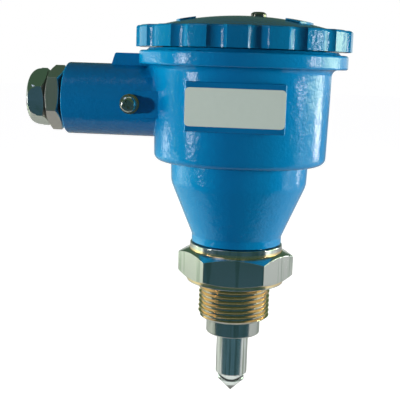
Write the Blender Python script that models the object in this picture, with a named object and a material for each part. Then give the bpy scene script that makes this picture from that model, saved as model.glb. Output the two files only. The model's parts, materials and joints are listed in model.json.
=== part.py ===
"""Optical liquid level sensor: a cast junction head on a screw-in fitting with a slim prism probe.

Units are metres, +Z is up. The origin lies on the probe's axis, in the sealing face of the process
fitting. The cable arm points along -X, the label and the earth screw face -Y.
"""
import math

import bmesh
import bpy
from mathutils import Matrix, Vector

for old_object in list(bpy.data.objects):
    bpy.data.objects.remove(old_object, do_unlink=True)

# Clearance, facets and small edges that all pieces share
GAP = 0.0003
MERGE_DISTANCE = 0.000001
ROUND_STEPS = 36
MEDIUM_STEPS = 24
PROBE_STEPS = 20
SMALL_STEPS = 12
HOLE_STEPS = 10
CORNER_STEPS = 2
SHARP_ANGLE = math.radians(35)
CHAMFER_ANGLE = math.radians(25)
SMALL_EDGE = 0.0004

# Probe: sleeve, glass prism and the optics behind it
SLEEVE_R = 0.0059
SLEEVE_WALL = 0.0013
SLEEVE_REACH = 0.0360
SLEEVE_SEAT = 0.0060
PRISM_R = 0.0049
PRISM_RIM = 0.0022
PRISM_SHANK = 0.0093
PRISM_CONE_ANGLE = math.radians(90)
PRISM_SEAL_CORD_R = 0.00055
PRISM_SEAL_DEPTH = 0.0030
OPTIC_R = 0.00125
OPTIC_LENGTH = 0.0056
OPTIC_SPACING = 0.0038
HOLDER_LENGTH = 0.0090
LEAD_R = 0.0016
LEAD_BOW = 0.0030
LEAD_POINTS = 13

# Process fitting, turned from hexagon bar
THREAD_R = 0.01322
THREAD_LENGTH = 0.0139
THREAD_CHAMFER = 0.0010
NOSE_R = 0.0100
NOSE_LENGTH = 0.0061
COLLAR_R = 0.0179
COLLAR_HEIGHT = 0.0013
FITTING_HEX_FLATS = 0.0370
FITTING_HEX_HEIGHT = 0.0104
FITTING_HEX_TURN = math.radians(2)
RING_R = 0.0170
RING_HEIGHT = 0.0026
SPIGOT_R = 0.0109
SPIGOT_HEIGHT = 0.0107
FACE_SEAL_R = 0.0126
FACE_SEAL_CORD_R = 0.0009

# Housing: tapered neck, round body and flange
WALL = 0.0033
BODY_WALL = 0.0030
FLOOR = 0.0030
NECK_STEP = 0.0005
NECK_FOOT_HEIGHT = 0.0027
CONE_HEIGHT = 0.0192
NECK_TAPER = 0.0003
NECK_TOP_HEIGHT = 0.0078
NECK_FILLET = 0.0060
SOCKET_DEPTH = 0.0114
BODY_TOP_R = 0.0318
BODY_TAPER = 0.0008
BODY_STEP = 0.0061
BODY_HEIGHT = 0.0339
BODY_FOOT_EDGE = 0.0025
FLANGE_LIP = 0.00545
FLANGE_HEIGHT = 0.0050
FLANGE_FILLET = 0.0018
FLANGE_EDGE = 0.0008
LAND_STEP = 0.00255
LAND_DRAFT = 0.0010
LAND_HEIGHT = 0.0009

# Lid: scalloped rim, shallow dome and screwed skirt
LID_LIP = 0.00115
LID_RIM_HEIGHT = 0.00725
LID_EDGE = 0.0008
LOBE_COUNT = 18
LOBE_TURN = math.radians(0.5)
GROOVE_DEPTH = 0.0015
GROOVE_STEPS = 4
DOME_STEP = 0.0064
DOME_RISE = 0.0045
DOME_STEPS = 6
LID_WALL = 0.0030
THREAD_WALL = 0.0025
SKIRT_WALL = 0.0028
SKIRT_HEIGHT = 0.0085
LID_SEAL_CORD_R = 0.00105
LID_SCREW_X = 0.0048
LID_SCREW_Y = 0.0020
LID_BOSS_R = 0.0035
LID_BOSS_HEIGHT = 0.0035
LID_SPOT_DEPTH = 0.0003
LID_SCREW_SHANK = 0.0041
CAST_PAD_INSET = 0.0107
CAST_PAD_WIDTH = 0.0062
CAST_PAD_RISE = 0.0006
CAST_PAD_ANGLES = ((-154, -190), (-38, 10))

# Cable arm with its web, earth pad and label pad
ARM_R = 0.0130
ARM_LENGTH = 0.0318
ARM_DROP = 0.0131
WEB_THICKNESS = 0.0066
WEB_RISE = 0.0039
WEB_SETBACK = 0.0176
WEB_SLOPE = 0.0016
WEB_EDGE = 0.0008
EARTH_PAD_PROUD = 0.0009
EARTH_PAD_HEIGHT = 0.0094
EARTH_PAD_END = 0.0041
EARTH_PAD_DROP = 0.0008
EARTH_SCREW_SPACING = 0.0065
EARTH_SCREW_SHANK = 0.0037
LABEL_PAD_PROUD = 0.0007
LABEL_PAD_WIDTH = 0.0330
LABEL_PAD_HEIGHT = 0.01635
LABEL_WIDTH = 0.0328
LABEL_HEIGHT = 0.0126
LABEL_CORNER = 0.0014
LABEL_THICKNESS = 0.0003

# Cable gland
GLAND_THREAD_R = 0.0080
GLAND_THREAD_LENGTH = 0.0100
GLAND_HEX_FLATS = 0.0207
GLAND_HEX_LENGTH = 0.0052
GLAND_HEX_TURN = math.radians(8)
GLAND_FRONT_R = 0.0073
GLAND_FRONT_LENGTH = 0.0036
GLAND_BORE_R = 0.0052
GLAND_WASHER_R = 0.0098
GLAND_WASHER_THICKNESS = 0.0007
GLAND_SEAL_R = 0.0057
GLAND_SEAL_BORE_R = 0.0042
GLAND_SEAL_LENGTH = 0.0044
THRUST_RING_THICKNESS = 0.0007
THRUST_RING_BORE_R = 0.0046
NUT_HEX_FLATS = 0.0185
NUT_HEX_TURN = math.radians(52)
NUT_HEX_LENGTH = 0.0020
NUT_LENGTH = 0.0071
NUT_DOME_R = 0.0104
NUT_DOME_ROUND = 0.0037
NUT_HOLE_R = 0.0046

# Pan-head screws and washers of one size
SHANK_R = 0.0015
HEAD_R = 0.0028
HEAD_HEIGHT = 0.0018
HEAD_EDGE = 0.0008
WASHER_R = 0.0035
WASHER_THICKNESS = 0.0005
SPRING_WASHER_R = 0.0031
SPRING_WASHER_THICKNESS = 0.0008
SCREW_RUNOUT = 0.0005

# Boards, spacers and what stands on them
BOARD_PLAY = 0.0010
BOARD_THICKNESS = 0.0016
BOARD_BOSS_R = 0.0026
BOARD_BOSS_HEIGHT = 0.0025
BOARD_SCREW_INSET = 0.0040
BOARD_SCREW_ANGLES = (90, 210, 330)
BOARD_SCREW_GRIP = 0.0040
SPACER_FLATS = 0.0050
LOWER_SPACER_LENGTH = 0.0044
BOARD_HEADROOM = 0.0033
CABLE_NOTCH_DEPTH = 0.0100
CABLE_NOTCH_CLEARANCE = 0.0030
TRANSFORMER_MARGIN = 0.0195
TRANSFORMER_TO_PILLAR = 0.0051
TRANSFORMER_TO_CAPACITOR = 0.0028
TRANSFORMER_HEADROOM = 0.0018
CAPACITOR_R = 0.0050
CAPACITOR_HEADROOM = 0.0015
CAPACITOR_X = 0.0100
CAPACITOR_MARGIN = 0.0102
PIN_STRIP_SIZE = (0.0150, 0.0025)
PIN_STRIP_X = -0.0096
PIN_STRIP_SETBACK = 0.0010
RELAY_WIDTH = 0.0200
RELAY_HEIGHT = 0.0100
RELAY_SPACING = 0.0022
RELAY_TO_PILLAR = 0.0011

# Terminal block with rising clamp cages
TERMINAL_COUNT = 5
TERMINAL_PITCH = 0.00508
BLOCK_FRONT = 0.0042
BLOCK_DEPTH = 0.0100
BLOCK_HEIGHT = 0.0120
BLOCK_FLOOR = 0.0008
CAGE_LENGTH = 0.0050
CAGE_WIDTH = 0.0035
CAGE_HEIGHT = 0.0046
CAGE_WALL = 0.0006
CAGE_LIFT = 0.0023
CLAMP_SHANK_R = 0.0011
CLAMP_HEAD_R = 0.00165
CLAMP_HEAD_HEIGHT = 0.0018
CLAMP_SHOULDER = 0.0007

# Inner earth screw on its pillar
PILLAR_INSET = 0.0062
PILLAR_R = 0.0032
PILLAR_RISE = 0.0004
PILLAR_WEB = 0.0040
PILLAR_SCREW_SHANK = 0.0055

# Heights of the main seats, worked out from the sizes above
FITTING_HEX_TOP_Z = COLLAR_HEIGHT + FITTING_HEX_HEIGHT
RING_TOP_Z = FITTING_HEX_TOP_Z + RING_HEIGHT
NECK_Z = RING_TOP_Z + GAP
CONE_Z = NECK_Z + NECK_FOOT_HEIGHT
CONE_TOP_Z = CONE_Z + CONE_HEIGHT
BODY_Z = CONE_TOP_Z + NECK_TOP_HEIGHT
FLANGE_Z = BODY_Z + BODY_HEIGHT
FLANGE_TOP_Z = FLANGE_Z + FLANGE_HEIGHT
LAND_TOP_Z = FLANGE_TOP_Z + LAND_HEIGHT
LID_Z = LAND_TOP_Z + GAP
LID_RIM_TOP_Z = LID_Z + LID_RIM_HEIGHT
SKIRT_Z = LID_Z - SKIRT_HEIGHT
ARM_Z = FLANGE_Z - ARM_DROP
LEDGE_Z = BODY_Z + FLOOR
BOSS_TOP_Z = LEDGE_Z + BOARD_BOSS_HEIGHT
LOWER_SPACER_Z = BOSS_TOP_Z + GAP
POWER_BOARD_Z = LOWER_SPACER_Z + LOWER_SPACER_LENGTH + GAP
POWER_BOARD_TOP_Z = POWER_BOARD_Z + BOARD_THICKNESS
UPPER_SPACER_Z = POWER_BOARD_TOP_Z + GAP
TERMINAL_BOARD_TOP_Z = SKIRT_Z - BOARD_HEADROOM
TERMINAL_BOARD_Z = TERMINAL_BOARD_TOP_Z - BOARD_THICKNESS
PILLAR_TOP_Z = TERMINAL_BOARD_TOP_Z + PILLAR_RISE
NOSE_TIP_Z = -THREAD_LENGTH - NOSE_LENGTH

# Radii and places that follow from a neighbour and a clearance
NECK_FOOT_R = RING_R - NECK_STEP
BODY_FOOT_R = BODY_TOP_R - BODY_TAPER
NECK_TOP_R = BODY_FOOT_R - BODY_STEP
CONE_TOP_R = NECK_TOP_R - NECK_TAPER
FLANGE_R = BODY_TOP_R + FLANGE_LIP
LAND_R = FLANGE_R - LAND_STEP
LID_R = FLANGE_R + LID_LIP
DOME_R = LID_R - DOME_STEP
CAST_PAD_R = DOME_R - CAST_PAD_INSET
SKIRT_R = BODY_TOP_R - THREAD_WALL - GAP
ARM_REACH = BODY_TOP_R + ARM_LENGTH
WEB_REACH = ARM_REACH - WEB_SETBACK
WEB_TOP = ARM_R + WEB_RISE
EARTH_PAD_Y = ARM_R + EARTH_PAD_PROUD
EARTH_SCREW_X = BODY_TOP_R + EARTH_SCREW_SPACING
EARTH_PAD_REACH = EARTH_SCREW_X + EARTH_PAD_END
LABEL_PAD_Y = BODY_TOP_R + LABEL_PAD_PROUD
SLEEVE_BORE_R = SLEEVE_R - SLEEVE_WALL
FITTING_BORE_R = SLEEVE_R + GAP
SOCKET_R = SPIGOT_R + GAP
ARM_BORE_R = GLAND_THREAD_R + GAP
THREAD_BORE_R = SKIRT_R + GAP
CAVITY_FOOT_R = BODY_FOOT_R - BODY_WALL
CAVITY_TOP_R = BODY_TOP_R - BODY_WALL - SMALL_EDGE
SKIRT_BORE_R = SKIRT_R - SKIRT_WALL
LID_SEAL_R = SKIRT_R + GAP + LID_SEAL_CORD_R
LID_GROOVE_R = LID_SEAL_R + LID_SEAL_CORD_R + GAP
SCREW_HOLE_R = SHANK_R + GAP
BOARD_R = CAVITY_FOOT_R - BOARD_PLAY
BOARD_SCREW_RING = CAVITY_FOOT_R - BOARD_SCREW_INSET
PILLAR_X = CAVITY_FOOT_R - PILLAR_INSET
PILLAR_FRONT_X = PILLAR_X - PILLAR_R
CAPACITOR_Y = BOARD_R - CAPACITOR_MARGIN
DOME_SPHERE_R = (DOME_R ** 2 + DOME_RISE ** 2) / (2 * DOME_RISE)
DOME_CENTRE_Z = LID_RIM_TOP_Z + DOME_RISE - DOME_SPHERE_R

# Base colour, roughness and metallic value of each finish
FINISHES = {
    "blue_paint": ((0.016, 0.205, 0.400), 0.35, 0.0),
    "stainless": ((0.560, 0.560, 0.530), 0.22, 1.0),
    "golden_steel": ((0.520, 0.430, 0.290), 0.28, 1.0),
    "nickel": ((0.600, 0.600, 0.580), 0.18, 1.0),
    "label_film": ((0.560, 0.600, 0.560), 0.45, 0.0),
    "black_rubber": ((0.020, 0.020, 0.022), 0.70, 0.0),
    "glass": ((0.900, 0.950, 0.950), 0.05, 0.0),
    "black_plastic": ((0.025, 0.025, 0.028), 0.50, 0.0),
    "green_plastic": ((0.040, 0.230, 0.090), 0.45, 0.0),
    "circuit_board": ((0.020, 0.110, 0.045), 0.40, 0.0),
    "white_nylon": ((0.700, 0.700, 0.660), 0.50, 0.0),
    "yellow_tape": ((0.650, 0.430, 0.060), 0.50, 0.0),
    "grey_lead": ((0.180, 0.180, 0.190), 0.55, 0.0),
    "clear_lens": ((0.500, 0.560, 0.620), 0.12, 0.0),
}


def finish_material(name, finish):
    """Principled material of one piece."""
    colour, roughness, metallic = FINISHES[finish]
    material = bpy.data.materials.new(name)
    material.use_nodes = True
    shader = material.node_tree.nodes["Principled BSDF"]
    shader.inputs["Base Color"].default_value = (*colour, 1.0)
    shader.inputs["Roughness"].default_value = roughness
    shader.inputs["Metallic"].default_value = metallic
    return material


def place(name, shape, location, rotation):
    """Put a finished bmesh into the scene as an object."""
    mesh = bpy.data.meshes.new(name)
    shape.to_mesh(mesh)
    shape.free()
    mesh.shade_smooth()
    mesh.set_sharp_from_angle(angle=SHARP_ANGLE)
    placed = bpy.data.objects.new(name, mesh)
    placed.location = location
    placed.rotation_euler = rotation
    bpy.context.scene.collection.objects.link(placed)
    return placed


def piece(name, shape, finish, location=(0, 0, 0), rotation=(0, 0, 0)):
    """A physical piece of the sensor."""
    made = place(name, shape, location, rotation)
    made.data.materials.append(finish_material(name, finish))
    return made


def cutter(name, shape, location=(0, 0, 0), rotation=(0, 0, 0)):
    """A helper solid that only shapes a piece."""
    made = place(name, shape, location, rotation)
    made.hide_render = True
    made.display_type = 'WIRE'
    return made


def combine(target, operation, *helpers):
    """Join, cut or intersect the target with helper solids, several of them in one step."""
    step = target.modifiers.new(operation.lower(), 'BOOLEAN')
    step.operation = operation
    step.solver = 'EXACT'
    if len(helpers) == 1:
        step.object = helpers[0]
        return
    group = bpy.data.collections.new("%s_%s" % (target.name, operation.lower()))
    bpy.context.scene.collection.children.link(group)
    for helper in helpers:
        group.objects.link(helper)
    step.operand_type = 'COLLECTION'
    step.collection = group


def rounded_path(corners, closed=False, steps=CORNER_STEPS):
    """Points of a path in which a corner (x, y, radius) becomes a tangent arc."""
    points = []
    last = len(corners) - 1
    for index, corner in enumerate(corners):
        here = Vector(corner[:2])
        if len(corner) == 2 or (not closed and index in (0, last)):
            points.append(here)
            continue
        back = (Vector(corners[index - 1][:2]) - here).normalized()
        ahead = (Vector(corners[(index + 1) % len(corners)][:2]) - here).normalized()
        half = back.angle(ahead) / 2
        centre = here + (back + ahead).normalized() * corner[2] / math.sin(half)
        start = here + back * corner[2] / math.tan(half) - centre
        end = here + ahead * corner[2] / math.tan(half) - centre
        sweep = start.angle(end)
        for step in range(steps + 1):
            share = step / steps
            blend = start * math.sin((1 - share) * sweep) + end * math.sin(share * sweep)
            points.append(centre + blend / math.sin(sweep))
    return points


def turned(path, steps=ROUND_STEPS, closed=False):
    """Solid of revolution about Z from (radius, height) points."""
    shape = bmesh.new()
    verts = [shape.verts.new((point[0], 0, point[1])) for point in path]
    for first, second in zip(verts, verts[1:]):
        shape.edges.new((first, second))
    if closed:
        shape.edges.new((verts[-1], verts[0]))
    profile = shape.verts[:] + shape.edges[:]
    bmesh.ops.spin(shape, geom=profile, cent=(0, 0, 0), axis=(0, 0, 1), dvec=(0, 0, 0),
                   angle=math.tau, steps=steps, use_merge=True)
    bmesh.ops.remove_doubles(shape, verts=shape.verts[:], dist=MERGE_DISTANCE)
    bmesh.ops.recalc_face_normals(shape, faces=shape.faces[:])
    return shape


def rod(radius, low, high, steps=SMALL_STEPS, edge=0.0):
    """Plain cylinder about Z, with chamfered rims where an edge is given."""
    if edge == 0.0:
        return turned([(0, low), (radius, low), (radius, high), (0, high)], steps)
    return turned([(0, low), (radius - edge, low), (radius, low + edge),
                   (radius, high - edge), (radius - edge, high), (0, high)], steps)


def ring(inner, outer, low, high, steps=SMALL_STEPS):
    """Flat ring about Z."""
    return turned([(inner, low), (outer, low), (outer, high), (inner, high)], steps, closed=True)


def o_ring(radius, cord_r, height, steps=ROUND_STEPS, sides=6):
    """Round-section seal about Z, with its cord centred at the given height."""
    section = [(radius + cord_r * math.cos(math.tau * side / sides),
                height + cord_r * math.sin(math.tau * side / sides)) for side in range(sides)]
    return turned(section, steps, closed=True)


def extruded(outline, low, high):
    """Prism of an outline of (x, y) points."""
    shape = bmesh.new()
    face = shape.faces.new([shape.verts.new((point[0], point[1], low)) for point in outline])
    grown = bmesh.ops.extrude_face_region(shape, geom=[face])
    top = [item for item in grown["geom"] if isinstance(item, bmesh.types.BMVert)]
    bmesh.ops.translate(shape, verts=top, vec=(0, 0, high - low))
    bmesh.ops.recalc_face_normals(shape, faces=shape.faces[:])
    return shape


def block(low, high):
    """Box between two opposite corners."""
    shape = bmesh.new()
    size = Vector(high) - Vector(low)
    middle = (Vector(high) + Vector(low)) / 2
    bmesh.ops.create_cube(shape, size=1.0, matrix=Matrix.LocRotScale(middle, None, size))
    return shape


def lofted(rows):
    """Closed solid through rows of points, capped at both ends."""
    shape = bmesh.new()
    rings = [[shape.verts.new(point) for point in row] for row in rows]
    shape.faces.new(rings[0])
    shape.faces.new(rings[-1])
    for lower, upper in zip(rings, rings[1:]):
        for index in range(len(lower)):
            after = (index + 1) % len(lower)
            shape.faces.new((lower[index], lower[after], upper[after], upper[index]))
    bmesh.ops.recalc_face_normals(shape, faces=shape.faces[:])
    return shape


def hexagon(across_flats, turn):
    """Corners of a hexagon, the first one at the angle turn."""
    corner_r = across_flats / 2 / math.cos(math.pi / 6)
    angles = [turn + math.tau * side / 6 for side in range(6)]
    return [(corner_r * math.cos(angle), corner_r * math.sin(angle)) for angle in angles]


def chamfer_envelope(across_flats, low, high, bottom_r, top_r):
    """Double cone that chamfers a hexagon's corners from the radii given at its two faces."""
    outer = across_flats / 2 / math.cos(math.pi / 6) + SMALL_EDGE
    bottom_rise = (outer - bottom_r) * math.tan(CHAMFER_ANGLE)
    top_rise = (outer - top_r) * math.tan(CHAMFER_ANGLE)
    return turned([(0, low), (bottom_r, low), (outer, low + bottom_rise),
                   (outer, high - top_rise), (top_r, high), (0, high)], MEDIUM_STEPS)


def dome_path(sphere_r, reach, steps):
    """Arc of the lid's dome, from radius reach to the axis."""
    widest = math.asin(reach / sphere_r)
    angles = [widest * (1 - step / steps) for step in range(steps + 1)]
    return [(sphere_r * math.sin(angle), DOME_CENTRE_Z + sphere_r * math.cos(angle)) for angle in angles]


def pan_screw(name, finish, shank, location, rotation=(0, 0, 0)):
    """Pan-head screw; its head sits on local z = 0 and points up."""
    path = [(0, -shank), (SHANK_R, -shank), (SHANK_R, 0), (HEAD_R, 0),
            (HEAD_R, HEAD_HEIGHT, HEAD_EDGE), (0, HEAD_HEIGHT)]
    return piece(name, turned(rounded_path(path), SMALL_STEPS), finish, location, rotation)


def board_screw_places():
    """Axes of the three board screws."""
    for angle in BOARD_SCREW_ANGLES:
        turn = math.radians(angle)
        yield BOARD_SCREW_RING * math.cos(turn), BOARD_SCREW_RING * math.sin(turn)


def make_process_fitting():
    """Ring, hexagon, collar, thread and nose in one turned bar, with a spigot for the housing."""
    hex_shape = extruded(hexagon(FITTING_HEX_FLATS, FITTING_HEX_TURN), COLLAR_HEIGHT, FITTING_HEX_TOP_Z)
    fitting = piece("process_fitting", hex_shape, "stainless")
    envelope = chamfer_envelope(FITTING_HEX_FLATS, COLLAR_HEIGHT, FITTING_HEX_TOP_Z, COLLAR_R, RING_R)
    combine(fitting, 'INTERSECT', cutter("fitting_chamfer", envelope))
    spigot_top = RING_TOP_Z + SPIGOT_HEIGHT
    groove_floor = RING_TOP_Z - GAP - 2 * FACE_SEAL_CORD_R
    groove_half = FACE_SEAL_CORD_R + GAP
    path = [(0, NOSE_TIP_Z), (NOSE_R - SMALL_EDGE, NOSE_TIP_Z), (NOSE_R, NOSE_TIP_Z + SMALL_EDGE),
            (NOSE_R, -THREAD_LENGTH), (THREAD_R - THREAD_CHAMFER, -THREAD_LENGTH),
            (THREAD_R, -THREAD_LENGTH + THREAD_CHAMFER), (THREAD_R, 0), (COLLAR_R, 0),
            (COLLAR_R, COLLAR_HEIGHT + SMALL_EDGE), (RING_R, COLLAR_HEIGHT + THREAD_CHAMFER),
            (RING_R, RING_TOP_Z - SMALL_EDGE), (RING_R - SMALL_EDGE, RING_TOP_Z),
            (FACE_SEAL_R + groove_half, RING_TOP_Z), (FACE_SEAL_R + groove_half, groove_floor),
            (FACE_SEAL_R - groove_half, groove_floor), (FACE_SEAL_R - groove_half, RING_TOP_Z),
            (SPIGOT_R, RING_TOP_Z), (SPIGOT_R, spigot_top - SMALL_EDGE),
            (SPIGOT_R - SMALL_EDGE, spigot_top), (0, spigot_top)]
    combine(fitting, 'UNION', cutter("fitting_turned", turned(path, MEDIUM_STEPS)))
    bore = rod(FITTING_BORE_R, NOSE_TIP_Z - WALL, spigot_top + WALL, MEDIUM_STEPS)
    combine(fitting, 'DIFFERENCE', cutter("fitting_bore", bore))
    seal_z = groove_floor + GAP + FACE_SEAL_CORD_R
    piece("fitting_o_ring", o_ring(FACE_SEAL_R, FACE_SEAL_CORD_R, seal_z, MEDIUM_STEPS), "black_rubber")


def make_probe():
    """Sleeve with the glass prism in its end, and the optics, their holder and the lead behind it."""
    edge = SMALL_EDGE
    sleeve = turned([(SLEEVE_BORE_R, -SLEEVE_REACH), (SLEEVE_R - edge, -SLEEVE_REACH),
                     (SLEEVE_R, -SLEEVE_REACH + edge), (SLEEVE_R, SLEEVE_SEAT),
                     (SLEEVE_BORE_R, SLEEVE_SEAT)], PROBE_STEPS, closed=True)
    piece("probe_sleeve", sleeve, "stainless")
    head_top = -SLEEVE_REACH - GAP
    cone_top = head_top - PRISM_RIM
    tip = cone_top - PRISM_R / math.tan(PRISM_CONE_ANGLE / 2)
    shank_r = SLEEVE_BORE_R - GAP
    shank_top = head_top + PRISM_SHANK
    groove_low = head_top + PRISM_SEAL_DEPTH
    groove_high = groove_low + 2 * (PRISM_SEAL_CORD_R + GAP)
    groove_r = shank_r - 2 * PRISM_SEAL_CORD_R - GAP
    prism = turned([(0, tip), (PRISM_R, cone_top), (PRISM_R, head_top), (shank_r, head_top),
                    (shank_r, groove_low), (groove_r, groove_low), (groove_r, groove_high),
                    (shank_r, groove_high), (shank_r, shank_top), (0, shank_top)], PROBE_STEPS)
    piece("glass_prism", prism, "glass")
    seal = o_ring(shank_r - PRISM_SEAL_CORD_R, PRISM_SEAL_CORD_R, (groove_low + groove_high) / 2,
                  PROBE_STEPS)
    piece("prism_o_ring", seal, "black_rubber")
    holder_z = shank_top + GAP
    holder_top = holder_z + HOLDER_LENGTH
    holder = piece("optics_holder", rod(shank_r, holder_z, holder_top, PROBE_STEPS, edge), "black_plastic")
    holes = []
    for name, side in (("emitter", -1), ("receiver", 1)):
        seat = (side * OPTIC_SPACING / 2, 0, 0)
        hole = rod(OPTIC_R + GAP, holder_z - SLEEVE_WALL, holder_z + OPTIC_LENGTH + GAP)
        holes.append(cutter(name + "_hole", hole, seat))
        piece(name, rod(OPTIC_R, holder_z, holder_z + OPTIC_LENGTH, SMALL_STEPS, edge), "clear_lens", seat)
    combine(holder, 'DIFFERENCE', *holes)
    make_probe_lead(holder_top + GAP, POWER_BOARD_Z - GAP)


def make_probe_lead(low, high):
    """Sheathed lead from the optics up to the power board, bowed a little in the wide neck."""
    curve = bpy.data.curves.new("probe_lead", 'CURVE')
    curve.dimensions = '3D'
    curve.bevel_depth = LEAD_R
    curve.bevel_resolution = 2
    curve.use_fill_caps = True
    spline = curve.splines.new('POLY')
    spline.points.add(LEAD_POINTS - 1)
    spacing = (high - low) / (LEAD_POINTS - 1)
    bow_start = RING_TOP_Z + SPIGOT_HEIGHT
    bow_length = high - spacing - bow_start
    for index, point in enumerate(spline.points):
        height = low + spacing * index
        share = min(1.0, max(0.0, (height - bow_start) / bow_length))
        sway = LEAD_BOW * math.sin(math.pi * share) ** 2
        point.co = (0, sway, height, 1)
    curve.materials.append(finish_material("probe_lead", "grey_lead"))
    lead = bpy.data.objects.new("probe_lead", curve)
    bpy.context.scene.collection.objects.link(lead)


def housing_shell():
    """Outer form of the casting: neck foot, cone, round body, flange and slanted seat land."""
    return turned(rounded_path([
        (0, NECK_Z), (NECK_FOOT_R, NECK_Z), (NECK_FOOT_R, CONE_Z, LID_EDGE),
        (CONE_TOP_R, CONE_TOP_Z, NECK_FILLET), (NECK_TOP_R, BODY_Z, LID_EDGE),
        (BODY_FOOT_R, BODY_Z, BODY_FOOT_EDGE), (BODY_TOP_R, FLANGE_Z, FLANGE_FILLET),
        (FLANGE_R, FLANGE_Z, FLANGE_EDGE), (FLANGE_R, FLANGE_TOP_Z, FLANGE_EDGE),
        (LAND_R, FLANGE_TOP_Z), (LAND_R - LAND_DRAFT, LAND_TOP_Z), (0, LAND_TOP_Z)]))


def housing_cavity():
    """Inner form: spigot socket, tapered neck, body, thread bore and seal counterbore."""
    slope = (CONE_TOP_R - NECK_FOOT_R) / CONE_HEIGHT
    lean = math.atan(slope)
    socket_top = NECK_Z + SOCKET_DEPTH
    cone_inner_r = NECK_FOOT_R + slope * (socket_top - CONE_Z) - WALL / math.cos(lean)
    neck_inner_r = CONE_TOP_R - WALL
    corner_z = CONE_TOP_Z + WALL * math.tan(lean / 2)
    counterbore_z = LID_Z - 2 * LID_SEAL_CORD_R - 2 * GAP
    return turned(rounded_path([
        (0, NECK_Z - WALL), (SOCKET_R, NECK_Z - WALL), (SOCKET_R, socket_top),
        (cone_inner_r, socket_top), (neck_inner_r, corner_z), (neck_inner_r, LEDGE_Z),
        (CAVITY_FOOT_R, LEDGE_Z), (CAVITY_TOP_R, SKIRT_Z - SMALL_EDGE),
        (THREAD_BORE_R, SKIRT_Z - SMALL_EDGE), (THREAD_BORE_R, counterbore_z),
        (LID_GROOVE_R, counterbore_z), (LID_GROOVE_R, LID_Z + WALL), (0, LID_Z + WALL)]))


def arm_solids():
    """Cable arm, the web on its back and the obround earth pad."""
    arm_length = ARM_REACH - CAVITY_FOOT_R + FLOOR
    barrel = cutter("arm_barrel", rod(ARM_R, 0, arm_length, MEDIUM_STEPS, SMALL_EDGE),
                    (-ARM_REACH, 0, ARM_Z), (0, math.pi / 2, 0))
    web_foot = WEB_REACH + 2 * WEB_SLOPE
    web_path = rounded_path([
        (-WEB_REACH, ARM_Z + WEB_TOP, WEB_EDGE), (-CAVITY_FOOT_R, ARM_Z + WEB_TOP),
        (-CAVITY_FOOT_R, ARM_Z + ARM_R / 2), (-web_foot, ARM_Z + ARM_R / 2)], closed=True)
    web = cutter("arm_web", extruded(web_path, -WEB_THICKNESS / 2, WEB_THICKNESS / 2),
                 (0, 0, 0), (math.pi / 2, 0, 0))
    pad_r = EARTH_PAD_HEIGHT / 2
    pad_z = ARM_Z - EARTH_PAD_DROP
    pad_path = rounded_path([
        (-EARTH_PAD_REACH, pad_z + pad_r, pad_r), (-EARTH_PAD_REACH, pad_z - pad_r, pad_r),
        (-CAVITY_FOOT_R, pad_z - pad_r), (-CAVITY_FOOT_R, pad_z + pad_r)], closed=True, steps=4)
    pad = cutter("earth_pad", extruded(pad_path, ARM_BORE_R, EARTH_PAD_Y), (0, 0, 0), (math.pi / 2, 0, 0))
    return barrel, web, pad


def housing_inner_solids():
    """Three board bosses on the ledge, and the earth pillar tied to the wall."""
    sunk = LEDGE_Z - SMALL_EDGE
    for index, (x, y) in enumerate(board_screw_places()):
        yield cutter("board_boss_%d" % (index + 1), rod(BOARD_BOSS_R, sunk, BOSS_TOP_Z), (x, y, 0))
    yield cutter("earth_pillar", rod(PILLAR_R, sunk, PILLAR_TOP_Z), (PILLAR_X, 0, 0))
    tie_low = (PILLAR_X, -PILLAR_WEB / 2, sunk)
    tie_high = (CAVITY_FOOT_R + BODY_WALL / 2, PILLAR_WEB / 2, PILLAR_TOP_Z)
    yield cutter("earth_pillar_tie", block(tie_low, tie_high))


def housing_holes():
    """Blind holes for the board screws, the inner and the outer earth screw."""
    board_hole = BOSS_TOP_Z - BOARD_SCREW_GRIP - SCREW_RUNOUT
    for index, (x, y) in enumerate(board_screw_places()):
        hole = rod(SCREW_HOLE_R, board_hole, BOSS_TOP_Z + WALL)
        yield cutter("board_screw_hole_%d" % (index + 1), hole, (x, y, 0))
    pillar_hole = rod(SCREW_HOLE_R, PILLAR_TOP_Z - PILLAR_SCREW_SHANK - SCREW_RUNOUT, PILLAR_TOP_Z + WALL)
    yield cutter("inner_earth_hole", pillar_hole, (PILLAR_X, 0, 0))
    earth_hole = rod(SCREW_HOLE_R, -EARTH_SCREW_SHANK - SCREW_RUNOUT, WALL)
    yield cutter("ground_screw_hole", earth_hole, (-EARTH_SCREW_X, -EARTH_PAD_Y, ARM_Z - EARTH_PAD_DROP),
                 (math.pi / 2, 0, 0))


def make_housing():
    """One aluminium casting, machined inside for the lid, the boards and the fitting."""
    housing = piece("housing", housing_shell(), "blue_paint")
    label_pad = cutter("label_pad", block(
        (-LABEL_PAD_WIDTH / 2, -LABEL_PAD_Y, ARM_Z - LABEL_PAD_HEIGHT / 2),
        (LABEL_PAD_WIDTH / 2, -CAVITY_FOOT_R + FLOOR, ARM_Z + LABEL_PAD_HEIGHT / 2)))
    combine(housing, 'UNION', *arm_solids(), label_pad)
    bore = rod(ARM_BORE_R, -WALL, ARM_REACH - CAVITY_FOOT_R + WALL, MEDIUM_STEPS)
    arm_bore = cutter("arm_bore", bore, (-ARM_REACH, 0, ARM_Z), (0, math.pi / 2, 0))
    cavity = cutter("housing_cavity", housing_cavity())
    combine(cavity, 'DIFFERENCE', *housing_inner_solids())
    combine(housing, 'DIFFERENCE', cavity, arm_bore, *housing_holes())


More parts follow.
